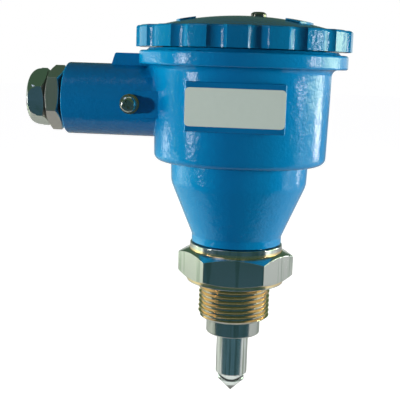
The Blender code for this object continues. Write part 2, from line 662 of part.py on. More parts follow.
def make_rating_label():
    """Thin film label on the flat pad of the body."""
    half_width = LABEL_WIDTH / 2
    half_height = LABEL_HEIGHT / 2
    outline = rounded_path([
        (-half_width, -half_height, LABEL_CORNER), (half_width, -half_height, LABEL_CORNER),
        (half_width, half_height, LABEL_CORNER), (-half_width, half_height, LABEL_CORNER)],
        closed=True, steps=4)
    piece("rating_label", extruded(outline, GAP, GAP + LABEL_THICKNESS), "label_film",
          (0, -LABEL_PAD_Y, ARM_Z), (math.pi / 2, 0, 0))


def make_ground_screw():
    """External earth screw with its flat and spring washer."""
    location = (-EARTH_SCREW_X, -EARTH_PAD_Y, ARM_Z - EARTH_PAD_DROP)
    turn = (math.pi / 2, 0, 0)
    flat_top = GAP + WASHER_THICKNESS
    spring_low = flat_top + GAP
    spring_top = spring_low + SPRING_WASHER_THICKNESS
    head_z = spring_top + GAP
    piece("ground_flat_washer", ring(SCREW_HOLE_R, WASHER_R, GAP, flat_top), "golden_steel", location, turn)
    piece("ground_spring_washer", ring(SCREW_HOLE_R, SPRING_WASHER_R, spring_low, spring_top), "stainless",
          location, turn)
    seat = (location[0], location[1] - head_z, location[2])
    pan_screw("ground_screw", "stainless", EARTH_SCREW_SHANK + head_z, seat, turn)


def scalloped_row(inset, height):
    """One row of the lid's rim: lobes with circular grip grooves between them."""
    half_pitch = math.pi / LOBE_COUNT
    half_groove = half_pitch / 2
    half_chord = LID_R * math.sin(half_groove)
    depth = GROOVE_DEPTH - LID_R * (1 - math.cos(half_groove))
    groove_r = (half_chord ** 2 + depth ** 2) / (2 * depth)
    sweep = math.asin(half_chord / groove_r)
    shrink = (LID_R - inset) / LID_R
    row = []
    for lobe in range(LOBE_COUNT):
        middle = LOBE_TURN - math.pi / 2 + 2 * half_pitch * lobe
        row.append((Vector((math.cos(middle), math.sin(middle))) * LID_R))
        groove_middle = middle + half_pitch
        outward = Vector((math.cos(groove_middle), math.sin(groove_middle)))
        across = Vector((-outward.y, outward.x))
        for step in range(GROOVE_STEPS + 1):
            angle = sweep * (2 * step / GROOVE_STEPS - 1)
            distance = LID_R - GROOVE_DEPTH + groove_r * (1 - math.cos(angle))
            row.append(outward * distance + across * groove_r * math.sin(angle))
    return [(point.x * shrink, point.y * shrink, height) for point in row]


def cast_pad(index, first, last):
    """One raised arc on the dome, bounded above by a dome CAST_PAD_RISE higher."""
    inner = CAST_PAD_R - CAST_PAD_WIDTH / 2
    outer = CAST_PAD_R + CAST_PAD_WIDTH / 2
    angles = [math.radians(first + (last - first) * step / GROOVE_STEPS) for step in range(GROOVE_STEPS + 1)]
    outline = [(outer * math.cos(angle), outer * math.sin(angle)) for angle in angles]
    outline += [(inner * math.cos(angle), inner * math.sin(angle)) for angle in reversed(angles)]
    pad = cutter("cast_pad_%d" % index, extruded(outline, LID_RIM_TOP_Z, LID_RIM_TOP_Z + 2 * DOME_RISE))
    cover = dome_path(DOME_SPHERE_R + CAST_PAD_RISE, DOME_R, DOME_STEPS)
    envelope = turned([(0, LID_Z), (DOME_R, LID_Z)] + cover)
    combine(pad, 'INTERSECT', cutter("cast_pad_cover_%d" % index, envelope))
    return pad


def make_lid():
    """Screwed lid: scalloped rim, hollow dome with a screw boss, and a threaded skirt."""
    rows = [scalloped_row(SMALL_EDGE, LID_Z), scalloped_row(0, LID_Z + SMALL_EDGE),
            scalloped_row(0, LID_RIM_TOP_Z - LID_EDGE),
            scalloped_row(LID_EDGE * (1 - math.cos(math.pi / 4)),
                          LID_RIM_TOP_Z - LID_EDGE * (1 - math.sin(math.pi / 4))),
            scalloped_row(LID_EDGE, LID_RIM_TOP_Z)]
    lid = piece("lid", lofted(rows), "blue_paint")
    dome = dome_path(DOME_SPHERE_R, DOME_R + LID_EDGE, DOME_STEPS)
    core = turned([(0, SKIRT_Z), (SKIRT_R - LID_EDGE, SKIRT_Z), (SKIRT_R, SKIRT_Z + LID_EDGE),
                   (SKIRT_R, LID_Z + LID_EDGE), (DOME_R + LID_EDGE, LID_Z + LID_RIM_HEIGHT / 2)] + dome)
    hollow_dome = dome_path(DOME_SPHERE_R - LID_WALL, SKIRT_BORE_R, DOME_STEPS - 2)
    hollow = turned([(0, SKIRT_Z - WALL), (SKIRT_BORE_R, SKIRT_Z - WALL)] + hollow_dome)
    screw_r = math.hypot(LID_SCREW_X, LID_SCREW_Y)
    dome_z = DOME_CENTRE_Z + math.sqrt(DOME_SPHERE_R ** 2 - screw_r ** 2)
    spot_z = dome_z - LID_SPOT_DEPTH
    seat = (LID_SCREW_X, LID_SCREW_Y, 0)
    boss = rod(LID_BOSS_R, dome_z - LID_WALL / 2 - LID_BOSS_HEIGHT - SMALL_EDGE, dome_z - LID_WALL / 2)
    hole_z = spot_z + GAP - LID_SCREW_SHANK - SCREW_RUNOUT
    spot_r = HEAD_R + 2 * GAP
    hole = turned([(0, hole_z), (SCREW_HOLE_R, hole_z), (SCREW_HOLE_R, spot_z), (spot_r, spot_z),
                   (spot_r, spot_z + WALL), (0, spot_z + WALL)], SMALL_STEPS)
    pads = [cast_pad(index + 1, *span) for index, span in enumerate(CAST_PAD_ANGLES)]
    combine(lid, 'UNION', cutter("lid_core", core), *pads)
    combine(lid, 'DIFFERENCE', cutter("lid_hollow", hollow))
    combine(lid, 'UNION', cutter("lid_boss", boss, seat))
    combine(lid, 'DIFFERENCE', cutter("lid_screw_hole", hole, seat))
    pan_screw("lid_screw", "stainless", LID_SCREW_SHANK, (LID_SCREW_X, LID_SCREW_Y, spot_z + GAP))
    seal_z = LID_Z - GAP - LID_SEAL_CORD_R
    piece("lid_o_ring", o_ring(LID_SEAL_R, LID_SEAL_CORD_R, seal_z), "black_rubber")


def make_gland():
    """Metal cable gland on the arm's end, built outwards along its own Z."""
    seat = (-ARM_REACH, 0, ARM_Z)
    turn = (0, -math.pi / 2, 0)
    washer_top = GAP + GLAND_WASHER_THICKNESS
    hex_low = washer_top + GAP
    hex_top = hex_low + GLAND_HEX_LENGTH
    front_top = hex_top + GLAND_FRONT_LENGTH
    seal_low = hex_top - SMALL_EDGE + GAP
    counter_r = GLAND_SEAL_R + GAP
    piece("gland_washer", ring(ARM_BORE_R, GLAND_WASHER_R, GAP, washer_top, MEDIUM_STEPS), "black_rubber",
          seat, turn)
    body = piece("gland_body", extruded(hexagon(GLAND_HEX_FLATS, GLAND_HEX_TURN), hex_low, hex_top),
                 "nickel", seat, turn)
    hex_edge_r = GLAND_HEX_FLATS / 2 - SMALL_EDGE
    envelope = chamfer_envelope(GLAND_HEX_FLATS, hex_low, hex_top, hex_edge_r, hex_edge_r)
    combine(body, 'INTERSECT', cutter("gland_chamfer", envelope, seat, turn))
    core = turned([(0, -GLAND_THREAD_LENGTH), (GLAND_THREAD_R - SMALL_EDGE, -GLAND_THREAD_LENGTH),
                   (GLAND_THREAD_R, SMALL_EDGE - GLAND_THREAD_LENGTH), (GLAND_THREAD_R, hex_low + SMALL_EDGE),
                   (GLAND_FRONT_R, hex_top - SMALL_EDGE), (GLAND_FRONT_R, front_top), (0, front_top)],
                  MEDIUM_STEPS)
    bore = turned([(0, -GLAND_THREAD_LENGTH - WALL), (GLAND_BORE_R, -GLAND_THREAD_LENGTH - WALL),
                   (GLAND_BORE_R, seal_low - GAP), (counter_r, seal_low - GAP),
                   (counter_r, front_top + WALL), (0, front_top + WALL)], MEDIUM_STEPS)
    combine(body, 'UNION', cutter("gland_core", core, seat, turn))
    combine(body, 'DIFFERENCE', cutter("gland_bore", bore, seat, turn))
    seal_top = seal_low + GLAND_SEAL_LENGTH
    piece("gland_seal", ring(GLAND_SEAL_BORE_R, GLAND_SEAL_R, seal_low, seal_top, MEDIUM_STEPS),
          "black_rubber", seat, turn)
    ring_low = seal_top + GAP
    ring_top = ring_low + THRUST_RING_THICKNESS
    nut_bore_r = GLAND_FRONT_R + GAP
    thrust_r = nut_bore_r - SMALL_EDGE
    piece("gland_thrust_ring", ring(THRUST_RING_BORE_R, thrust_r, ring_low, ring_top, MEDIUM_STEPS),
          "nickel", seat, turn)
    make_gland_nut(seat, turn, hex_top + SMALL_EDGE + GAP / 2, ring_top + GAP, nut_bore_r)


def make_gland_nut(seat, turn, low, floor, nut_bore_r):
    """Hexagon dome nut that presses the thrust ring onto the seal."""
    top = low + NUT_LENGTH
    nut = piece("gland_dome_nut", extruded(hexagon(NUT_HEX_FLATS, NUT_HEX_TURN), low, top), "nickel",
                seat, turn)
    corner_r = NUT_HEX_FLATS / 2 / math.cos(math.pi / 6) + SMALL_EDGE
    edge_r = NUT_HEX_FLATS / 2 - SMALL_EDGE
    rise = (corner_r - edge_r) * math.tan(CHAMFER_ANGLE)
    dome_low = top - NUT_DOME_ROUND
    envelope = rounded_path([
        (0, low), (edge_r, low), (corner_r, low + rise), (corner_r, low + NUT_HEX_LENGTH),
        (NUT_DOME_R, dome_low), (NUT_DOME_R, top, NUT_DOME_ROUND), (0, top)], steps=5)
    combine(nut, 'INTERSECT', cutter("nut_envelope", turned(envelope, MEDIUM_STEPS), seat, turn))
    bore = turned([(0, low - WALL), (nut_bore_r, low - WALL), (nut_bore_r, floor), (NUT_HOLE_R, floor),
                   (NUT_HOLE_R, top + WALL), (0, top + WALL)], MEDIUM_STEPS)
    combine(nut, 'DIFFERENCE', cutter("nut_bore", bore, seat, turn))


def make_board(name, low, notches):
    """Round board with three screw holes and the notches given as boxes (low x, y to high x, y)."""
    board = piece(name, rod(BOARD_R, low, low + BOARD_THICKNESS, ROUND_STEPS), "circuit_board")
    cuts = []
    for index, (x, y) in enumerate(board_screw_places()):
        hole = rod(SCREW_HOLE_R, low - WALL, low + WALL, HOLE_STEPS)
        cuts.append(cutter("%s_hole_%d" % (name, index + 1), hole, (x, y, 0)))
    for index, (first, second) in enumerate(notches):
        notch = block((*first, low - WALL), (*second, low + WALL))
        cuts.append(cutter("%s_notch_%d" % (name, index + 1), notch))
    combine(board, 'DIFFERENCE', *cuts)


def make_boards():
    """Power board below and terminal board above, on spacers and three long screws."""
    clear = PILLAR_R + 2 * GAP
    pillar_notch = ((PILLAR_X - clear, -clear), (BODY_TOP_R, clear))
    half_notch = BOARD_SCREW_RING / 2 - CABLE_NOTCH_CLEARANCE
    cable_notch = ((-BODY_TOP_R, -half_notch), (CABLE_NOTCH_DEPTH - BOARD_R, half_notch))
    make_board("power_board", POWER_BOARD_Z, [pillar_notch])
    make_board("terminal_board", TERMINAL_BOARD_Z, [pillar_notch, cable_notch])
    screw_z = TERMINAL_BOARD_TOP_Z + GAP
    shank = screw_z - BOSS_TOP_Z + BOARD_SCREW_GRIP
    upper_length = TERMINAL_BOARD_Z - GAP - UPPER_SPACER_Z
    for index, (x, y) in enumerate(board_screw_places()):
        number = index + 1
        make_spacer("lower_spacer_%d" % number, LOWER_SPACER_Z, LOWER_SPACER_LENGTH, x, y)
        make_spacer("upper_spacer_%d" % number, UPPER_SPACER_Z, upper_length, x, y)
        pan_screw("board_screw_%d" % number, "stainless", shank, (x, y, screw_z))


def make_spacer(name, low, length, x, y):
    """Hexagon spacer sleeve round a board screw."""
    spacer = piece(name, extruded(hexagon(SPACER_FLATS, 0), low, low + length), "white_nylon", (x, y, 0))
    bore = rod(SCREW_HOLE_R, low - WALL, low + length + WALL, HOLE_STEPS)
    combine(spacer, 'DIFFERENCE', cutter(name + "_bore", bore, (x, y, 0)))


def chamfered(target, width):
    """One-step Bevel on every edge of a moulded box."""
    step = target.modifiers.new("edges", 'BEVEL')
    step.width = width
    step.segments = 1


def make_power_parts():
    """Transformer, capacitor and pin strip that stand on the power board."""
    low = POWER_BOARD_TOP_Z + GAP
    half_width = CAPACITOR_Y - CAPACITOR_R - TRANSFORMER_TO_CAPACITOR
    transformer = piece("transformer", block(
        (TRANSFORMER_MARGIN - BOARD_R, -half_width, low),
        (PILLAR_FRONT_X - TRANSFORMER_TO_PILLAR, half_width, TERMINAL_BOARD_Z - TRANSFORMER_HEADROOM)),
        "black_plastic")
    chamfered(transformer, SMALL_EDGE)
    capacitor = rod(CAPACITOR_R, low, TERMINAL_BOARD_Z - CAPACITOR_HEADROOM, PROBE_STEPS, SMALL_EDGE)
    piece("capacitor", capacitor, "black_plastic", (CAPACITOR_X, CAPACITOR_Y, 0))
    half_x, half_y = PIN_STRIP_SIZE[0] / 2, PIN_STRIP_SIZE[1] / 2
    strip_y = CAPACITOR_Y - PIN_STRIP_SETBACK
    strip = block((PIN_STRIP_X - half_x, strip_y - half_y, low),
                  (PIN_STRIP_X + half_x, strip_y + half_y, TERMINAL_BOARD_Z - GAP))
    piece("board_link", strip, "black_plastic")


def make_terminal_parts():
    """Five-way terminal block with clamp screws and rising cages, and the relay behind it."""
    base = TERMINAL_BOARD_TOP_Z + GAP
    half_length = TERMINAL_COUNT * TERMINAL_PITCH / 2
    back = BLOCK_DEPTH - BLOCK_FRONT
    housing_block = piece("terminal_block", block((-BLOCK_FRONT, -half_length, base),
                                                  (back, half_length, base + BLOCK_HEIGHT)), "green_plastic")
    cuts = []
    for index in range(TERMINAL_COUNT):
        y = TERMINAL_PITCH * (index - (TERMINAL_COUNT - 1) / 2)
        cuts += make_terminal(index + 1, y, base)
    combine(housing_block, 'DIFFERENCE', *cuts)
    relay = piece("relay", block(
        (back + RELAY_SPACING, -RELAY_WIDTH / 2, base),
        (PILLAR_FRONT_X - RELAY_TO_PILLAR, RELAY_WIDTH / 2, base + RELAY_HEIGHT)), "yellow_tape")
    chamfered(relay, SMALL_EDGE)


def make_terminal(number, y, base):
    """Cage and clamp screw of one way; returns the cutters of its well and stepped screw hole."""
    cage_low = BLOCK_FLOOR + GAP
    well_top = cage_low + CAGE_HEIGHT + CAGE_LIFT + GAP
    well_half = CAGE_WIDTH / 2 + GAP
    well = block((-BLOCK_FRONT - WALL, -well_half, BLOCK_FLOOR),
                 (CAGE_LENGTH / 2 + GAP, well_half, well_top))
    shoulder_z = well_top + CLAMP_SHOULDER
    shank_hole_r = CLAMP_SHANK_R + GAP
    head_hole_r = CLAMP_HEAD_R + GAP
    hole = turned([(0, well_top - GAP), (shank_hole_r, well_top - GAP), (shank_hole_r, shoulder_z),
                   (head_hole_r, shoulder_z), (head_hole_r, BLOCK_HEIGHT + WALL),
                   (0, BLOCK_HEIGHT + WALL)], SMALL_STEPS)
    seat = (0, y, base)
    half_x, half_y = CAGE_LENGTH / 2, CAGE_WIDTH / 2
    cage_top = cage_low + CAGE_HEIGHT
    cage = piece("terminal_cage_%d" % number, block((-half_x, -half_y, cage_low), (half_x, half_y, cage_top)),
                 "nickel", seat)
    window = block((-CAGE_LENGTH, CAGE_WALL - half_y, cage_low + CAGE_WALL),
                   (CAGE_LENGTH, half_y - CAGE_WALL, cage_top - CAGE_WALL))
    cage_hole = rod(shank_hole_r, cage_top - 2 * CAGE_WALL, cage_top + CAGE_WALL, HOLE_STEPS)
    combine(cage, 'DIFFERENCE', cutter("cage_window_%d" % number, window, seat),
            cutter("cage_hole_%d" % number, cage_hole, seat))
    tip = cage_low + 2 * CAGE_WALL + CAGE_LIFT
    head_low = shoulder_z + GAP
    head_top = head_low + CLAMP_HEAD_HEIGHT
    screw = turned([(0, tip), (CLAMP_SHANK_R, tip), (CLAMP_SHANK_R, head_low), (CLAMP_HEAD_R, head_low),
                    (CLAMP_HEAD_R, head_top), (0, head_top)], HOLE_STEPS)
    piece("terminal_screw_%d" % number, screw, "stainless", seat)
    return [cutter("terminal_well_%d" % number, well, seat), cutter("terminal_hole_%d" % number, hole, seat)]


def make_inner_earth():
    """Inner earth screw and washer on the pillar."""
    washer_low = PILLAR_TOP_Z + GAP
    washer_top = washer_low + WASHER_THICKNESS
    piece("inner_earth_washer", ring(SCREW_HOLE_R, WASHER_R, washer_low, washer_top), "golden_steel",
          (PILLAR_X, 0, 0))
    head_z = washer_top + GAP
    pan_screw("inner_earth_screw", "golden_steel", head_z - PILLAR_TOP_Z + PILLAR_SCREW_SHANK,
              (PILLAR_X, 0, head_z))


make_process_fitting()
make_probe()
make_housing()
make_rating_label()
make_ground_screw()
make_gland()
make_boards()
make_power_parts()
make_terminal_parts()
make_inner_earth()
make_lid()
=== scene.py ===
"""Looks of the optical liquid level sensor, put together in the order in which a fitter would build it."""

import json
import math

import bmesh
import bpy
from mathutils import Matrix, Vector


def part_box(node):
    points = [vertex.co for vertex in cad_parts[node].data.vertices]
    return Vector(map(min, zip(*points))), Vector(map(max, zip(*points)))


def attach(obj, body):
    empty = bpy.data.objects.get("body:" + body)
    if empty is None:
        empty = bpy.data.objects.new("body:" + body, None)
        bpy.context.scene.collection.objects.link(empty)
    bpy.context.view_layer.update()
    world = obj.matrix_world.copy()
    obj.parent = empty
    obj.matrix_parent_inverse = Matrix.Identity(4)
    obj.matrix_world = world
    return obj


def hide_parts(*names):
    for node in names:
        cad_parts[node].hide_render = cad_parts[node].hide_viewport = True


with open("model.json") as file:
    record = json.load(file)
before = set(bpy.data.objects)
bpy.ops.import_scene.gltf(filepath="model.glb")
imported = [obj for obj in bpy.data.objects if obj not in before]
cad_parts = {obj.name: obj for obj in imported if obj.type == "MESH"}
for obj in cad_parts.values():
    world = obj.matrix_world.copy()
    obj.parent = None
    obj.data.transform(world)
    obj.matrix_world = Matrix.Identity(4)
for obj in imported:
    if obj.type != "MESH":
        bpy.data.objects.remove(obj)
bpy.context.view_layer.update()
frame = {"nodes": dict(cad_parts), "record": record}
MM = 0.001


# Camera
# A 76.5 mm lens at 31 cm, a little above the seat of the fitting, turned and rolled as in the photograph.
CAMERA_TURN = math.radians(6.2)
CAMERA_PITCH = math.radians(9.2)
CAMERA_ROLL = math.radians(1.84)
CAMERA_DISTANCE = 0.31283
CAMERA_AIM_SIDE = -0.01385
CAMERA_AIM_HEIGHT = 0.02945
CAMERA_LENS = 76.5
CAMERA_SENSOR = 36
CAMERA_NEAR = 0.01

level = Vector((math.cos(CAMERA_TURN), math.sin(CAMERA_TURN), 0))
away = Vector((math.sin(CAMERA_TURN) * math.cos(CAMERA_PITCH),
               -math.cos(CAMERA_TURN) * math.cos(CAMERA_PITCH), math.sin(CAMERA_PITCH)))
upright = away.cross(level)
side = level * math.cos(CAMERA_ROLL) + upright * math.sin(CAMERA_ROLL)
top = upright * math.cos(CAMERA_ROLL) - level * math.sin(CAMERA_ROLL)
aim = level * CAMERA_AIM_SIDE + Vector((0, 0, CAMERA_AIM_HEIGHT))
camera_data = bpy.data.cameras.new("photo_camera")
camera_data.lens = CAMERA_LENS
camera_data.sensor_width = CAMERA_SENSOR
camera_data.clip_start = CAMERA_NEAR
camera = bpy.data.objects.new("photo_camera", camera_data)
camera.matrix_world = (Matrix.Translation(aim + away * CAMERA_DISTANCE)
                       @ Matrix((side, top, away)).transposed().to_4x4())
bpy.context.scene.collection.objects.link(camera)
bpy.context.scene.camera = camera
bpy.context.scene.view_settings.view_transform = 'Standard'


# Studio
# A white table and paper behind and beside the sensor, up to a little above the frame, in a dim room
# with a greenish ceiling; the bright metal and the gloss of the paint reflect all of it.
PAPER_COLOUR = (0.80, 0.86, 0.80, 1)
ROOM_LIGHT = (0.060, 0.130, 0.175, 1)
ROOM_DARK = (0.018, 0.060, 0.040, 1)
CEILING_COLOUR = (0.075, 0.140, 0.085, 1)
ROOM_EDGE = math.cos(math.radians(104))
ROOM_EDGE_SOFTNESS = 0.10
CEILING_EDGE = (0.07, 0.14)
BAND_SCALE = 34.0
BAND_STRETCH = (1, 1, 0.12)
BAND_EDGE = (0.40, 0.58)
AMBIENT_LOW = (0.24, 0.25, 0.29, 1)
AMBIENT_HIGH = (0.06, 0.07, 0.08, 1)
AMBIENT_EDGE = (-0.1, 0.6)
JUST_OVER_ONE = 1.0001
FLOOR_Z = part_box("glass_prism")[0].z - 0.075
FLOOR_HALF = 3.0
TABLE_FRONT = -0.07
FLOOR_COLOUR = (0.29, 0.24, 0.27, 1)
FLOOR_GLOW = 0.97
FLOOR_GLOW_IN_GLOSS = 0.20
WHITE = (1.0, 1.0, 1.0)


def feed(tree, value, socket):
    """Sets a socket to a number or colour, or links the socket given as its value."""
    if isinstance(value, bpy.types.NodeSocket):
        tree.links.new(value, socket)
    else:
        socket.default_value = value


def link_math(tree, operation, first, second=0.0):
    """Math node fed by sockets or numbers."""
    node = tree.nodes.new('ShaderNodeMath')
    node.operation = operation
    feed(tree, first, node.inputs[0])
    feed(tree, second, node.inputs[1])
    return node.outputs[0]


def link_range(tree, value, low, high):
    """Smooth ramp of a value, 0 at low and 1 at high."""
    node = tree.nodes.new('ShaderNodeMapRange')
    node.interpolation_type = 'SMOOTHSTEP'
    tree.links.new(value, node.inputs["Value"])
    node.inputs["From Min"].default_value = low
    node.inputs["From Max"].default_value = high
    return node.outputs[0]


def link_mix(tree, factor, first, second):
    """Colour mix fed by sockets or colours."""
    node = tree.nodes.new('ShaderNodeMix')
    node.data_type = 'RGBA'
    tree.links.new(factor, node.inputs["Factor"])
    feed(tree, first, node.inputs[6])
    feed(tree, second, node.inputs[7])
    return node.outputs[2]


def link_noise(tree, place, scale, stretch=None, detail=2.0):
    """Noise at a place, drawn out along the axes where a stretch is given."""
    if stretch:
        mapping = tree.nodes.new('ShaderNodeMapping')
        mapping.inputs["Scale"].default_value = stretch
        tree.links.new(place, mapping.inputs["Vector"])
        place = mapping.outputs[0]
    noise = tree.nodes.new('ShaderNodeTexNoise')
    noise.inputs["Detail"].default_value = detail
    tree.links.new(place, noise.inputs["Vector"])
    feed(tree, scale, noise.inputs["Scale"])
    return noise.outputs[0]


def link_background(tree, colour):
    """Background shader of a colour or a colour socket."""
    node = tree.nodes.new('ShaderNodeBackground')
    feed(tree, colour, node.inputs["Color"])
    return node.outputs[0]


def link_shaders(tree, factor, first, second):
    """Mix of two shaders by a factor socket."""
    node = tree.nodes.new('ShaderNodeMixShader')
    for value, socket in zip((factor, first, second), node.inputs):
        tree.links.new(value, socket)
    return node.outputs[0]


def link_paths(tree):
    """Two masks: rays seen straight or through glass, and rays off a glossy surface."""
    paths = tree.nodes.new('ShaderNodeLightPath').outputs
    clear = link_math(tree, 'MAXIMUM', paths["Is Camera Ray"], paths["Is Transmission Ray"])
    return clear, paths["Is Glossy Ray"]


def as_object(name, shape, matrix=None):
    """Linked mesh object of a bmesh, with its place put into its mesh."""
    if matrix is not None:
        bmesh.ops.transform(shape, matrix=matrix, verts=shape.verts[:])
    mesh = bpy.data.meshes.new(name)
    shape.to_mesh(mesh)
    shape.free()
    made = bpy.data.objects.new(name, mesh)
    bpy.context.scene.collection.objects.link(made)
    return made


def new_material(name):
    """Node material, its tree and its shader."""
    material = bpy.data.materials.new(name)
    material.use_nodes = True
    return material, material.node_tree, material.node_tree.nodes["Principled BSDF"]


world = bpy.data.worlds.new("studio")
world.use_nodes = True
bpy.context.scene.world = world
tree = world.node_tree
tree.nodes.clear()
direction = tree.nodes.new('ShaderNodeTexCoord').outputs["Generated"]
split = tree.nodes.new('ShaderNodeSeparateXYZ')
tree.links.new(direction, split.inputs[0])
rise = split.outputs[2]
ahead = link_math(tree, 'SUBTRACT', link_math(tree, 'MULTIPLY', split.outputs[0], math.sin(CAMERA_TURN)),
                  link_math(tree, 'MULTIPLY', split.outputs[1], math.cos(CAMERA_TURN)))
level_length = link_math(tree, 'SQRT', link_math(
    tree, 'SUBTRACT', JUST_OVER_ONE, link_math(tree, 'POWER', rise, 2.0)))
facing = link_math(tree, 'DIVIDE', ahead, level_length)
bands = link_noise(tree, direction, BAND_SCALE, BAND_STRETCH, 3.0)
furniture = link_mix(tree, link_range(tree, bands, *BAND_EDGE), ROOM_DARK, ROOM_LIGHT)
in_room = link_range(tree, facing, ROOM_EDGE - ROOM_EDGE_SOFTNESS, ROOM_EDGE + ROOM_EDGE_SOFTNESS)
room = link_mix(tree, in_room, PAPER_COLOUR, furniture)
surroundings = link_mix(tree, link_range(tree, rise, *CEILING_EDGE), room, CEILING_COLOUR)
ambient = link_mix(tree, link_range(tree, rise, *AMBIENT_EDGE), AMBIENT_LOW, AMBIENT_HIGH)
clear_ray, glossy_ray = link_paths(tree)
unseen = link_shaders(tree, glossy_ray, link_background(tree, ambient), link_background(tree, surroundings))
sky = link_shaders(tree, clear_ray, unseen, link_background(tree, (*WHITE, 1)))
tree.links.new(sky, tree.nodes.new('ShaderNodeOutputWorld').inputs[0])

floor_shape = bmesh.new()
bmesh.ops.create_grid(floor_shape, x_segments=1, y_segments=1, size=FLOOR_HALF,
                      matrix=Matrix.Translation((0, FLOOR_HALF + TABLE_FRONT, FLOOR_Z)))
floor = as_object("floor", floor_shape)
floor_material, tree, shader = new_material("floor")
shader.inputs["Base Color"].default_value = FLOOR_COLOUR
shader.inputs["Roughness"].default_value = 0.9
shader.inputs["Specular IOR Level"].default_value = 0.0
shader.inputs["Emission Color"].default_value = (*WHITE, 1)
clear_ray, glossy_ray = link_paths(tree)
seen_ray = link_math(tree, 'MAXIMUM', clear_ray, link_math(tree, 'MULTIPLY', glossy_ray, FLOOR_GLOW_IN_GLOSS))
tree.links.new(link_math(tree, 'MULTIPLY', seen_ray, FLOOR_GLOW), shader.inputs["Emission Strength"])
floor.data.materials.append(floor_material)

LAMP_AIM = Vector((0, 0, 0.055))
# Name, azimuth from the camera's side and rise in degrees, distance, width and height in m, watts, colour.
MATT_LAMPS = (
    ("key", -68, 3, 0.90, 0.05, 0.05, 8.0, (1.0, 0.99, 0.95)),
    ("left_fill", -108, 2, 0.90, 0.40, 0.28, 18.0, (0.66, 1.0, 0.60)),
    ("right_fill", 84, 2, 0.90, 0.40, 0.28, 19.0, (0.75, 1.0, 0.82)))
GLOSS_LAMPS = (
    ("left_window", -69, -1, 0.90, 0.10, 0.18, 1.05, WHITE),
    ("left_back_window", -116, -5, 0.80, 0.12, 0.12, 0.26, WHITE),
    ("right_haze", 103, 4, 0.60, 0.34, 0.14, 0.90, (0.80, 1.0, 0.60)),
    ("right_window", 77, 2.5, 0.60, 0.05, 0.05, 0.26, WHITE),
    ("right_back_window", 116, -6, 0.80, 0.06, 0.08, 0.46, WHITE),
    ("roof_light", 0, 66, 0.90, 0.50, 0.05, 0.13, (1.0, 1.0, 0.90)),
    ("sky_window", -60, 46, 0.90, 0.34, 0.34, 0.50, (0.66, 0.70, 1.0)))


def add_lamp(in_gloss, name, turn, rise, distance, width, height, power, colour):
    """Area lamp that lights either the matt part of each finish or its gloss."""
    lamp_data = bpy.data.lights.new(name, 'AREA')
    lamp_data.shape = 'RECTANGLE'
    lamp_data.size = width
    lamp_data.size_y = height
    lamp_data.energy = power
    lamp_data.color = colour
    lamp = bpy.data.objects.new(name, lamp_data)
    angle = math.radians(turn) + CAMERA_TURN
    rise = math.radians(rise)
    toward = Vector((math.sin(angle) * math.cos(rise), -math.cos(angle) * math.cos(rise), math.sin(rise)))
    lamp.location = LAMP_AIM + toward * distance
    lamp.rotation_euler = toward.to_track_quat('Z', 'Y').to_euler()
    lamp.visible_glossy = in_gloss
    lamp.visible_diffuse = not in_gloss
    bpy.context.scene.collection.objects.link(lamp)


for lamp_facts in MATT_LAMPS:
    add_lamp(False, *lamp_facts)
for lamp_facts in GLOSS_LAMPS:
    add_lamp(True, *lamp_facts)


# Process fitting
# One bar of stainless steel: ring, hexagon, sealing collar, pipe thread and nose, turned and milled,
# with a spigot that is pressed into the neck of the casting.
ROUND_STEPS = 144
FITTING_LOW, FITTING_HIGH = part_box("process_fitting")
HEX_FLATS = 37.0 * MM
HEX_TURN = 2
COLLAR_R = 17.9 * MM
COLLAR_TOP = 1.3 * MM
HEX_TOP = 11.7 * MM
RING_R = 17.0 * MM
RING_TOP = 14.3 * MM
HEX_CORE_R = RING_R - 1.2 * MM
SPIGOT_R = 10.9 * MM
THREAD_R = 13.22 * MM
THREAD_DEPTH = 1.16 * MM
THREAD_ROOT_R = THREAD_R - THREAD_DEPTH
THREAD_PITCH = 1.814 * MM
THREAD_END = -13.9 * MM
THREAD_RUNOUT = -0.9 * MM
THREAD_CHAMFER = 1.0 * MM
NOSE_R = 10.0 * MM
FITTING_BORE_R = 6.2 * MM
GROOVE_IN_R = 11.4 * MM
GROOVE_OUT_R = 13.8 * MM
GROOVE_FLOOR = 12.2 * MM
TURNED_STRETCH = (0.15, 0.15, 4.0)
# Painted reflection: a warm gold mixed into the steel's colour on the thread and on two bands of the fitting.
GOLD_PAINTED_REFLECTION = (0.98, 0.74, 0.42, 1)
BAR_LIGHT = (0.64, 0.65, 0.64)
BAR_DARK = (0.44, 0.50, 0.45)
BUMP_DISTANCE = 0.0001


def swung(start, end, share):
    """Vector between two others, a share of the way round from the first."""
    sweep = start.angle(end)
    return (start * math.sin((1 - share) * sweep) + end * math.sin(share * sweep)) / math.sin(sweep)


def rounded(corners, closed=False, steps=5):
    """Points of a path in which a corner (x, y, radius) becomes a tangent arc."""
    points = []
    last = len(corners) - 1
    for index, corner in enumerate(corners):
        here = Vector(corner[:2])
        if len(corner) == 2 or (not closed and index in (0, last)):
            points.append(here)
            continue
        back = (Vector(corners[index - 1][:2]) - here).normalized()
        onward = (Vector(corners[(index + 1) % len(corners)][:2]) - here).normalized()
        half = back.angle(onward) / 2
        centre = here + (back + onward).normalized() * corner[2] / math.sin(half)
        start = here + back * corner[2] / math.tan(half) - centre
        end = here + onward * corner[2] / math.tan(half) - centre
        points += [centre + swung(start, end, step / steps) for step in range(steps + 1)]
    return points


def divided(points, longest):
    """The same path with extra points, so that no stretch is longer than the length given."""
    finer = [points[0]]
    for first, second in zip(points, points[1:]):
        parts = max(1, math.ceil((second - first).length / longest))
        finer += [first.lerp(second, part / parts) for part in range(1, parts + 1)]
    return finer


def profile(path):
    """Bmesh with an open line through (radius, height) points."""
    shape = bmesh.new()
    verts = [shape.verts.new((point[0], 0, point[1])) for point in path]
    for first, second in zip(verts, verts[1:]):
        shape.edges.new((first, second))
    return shape


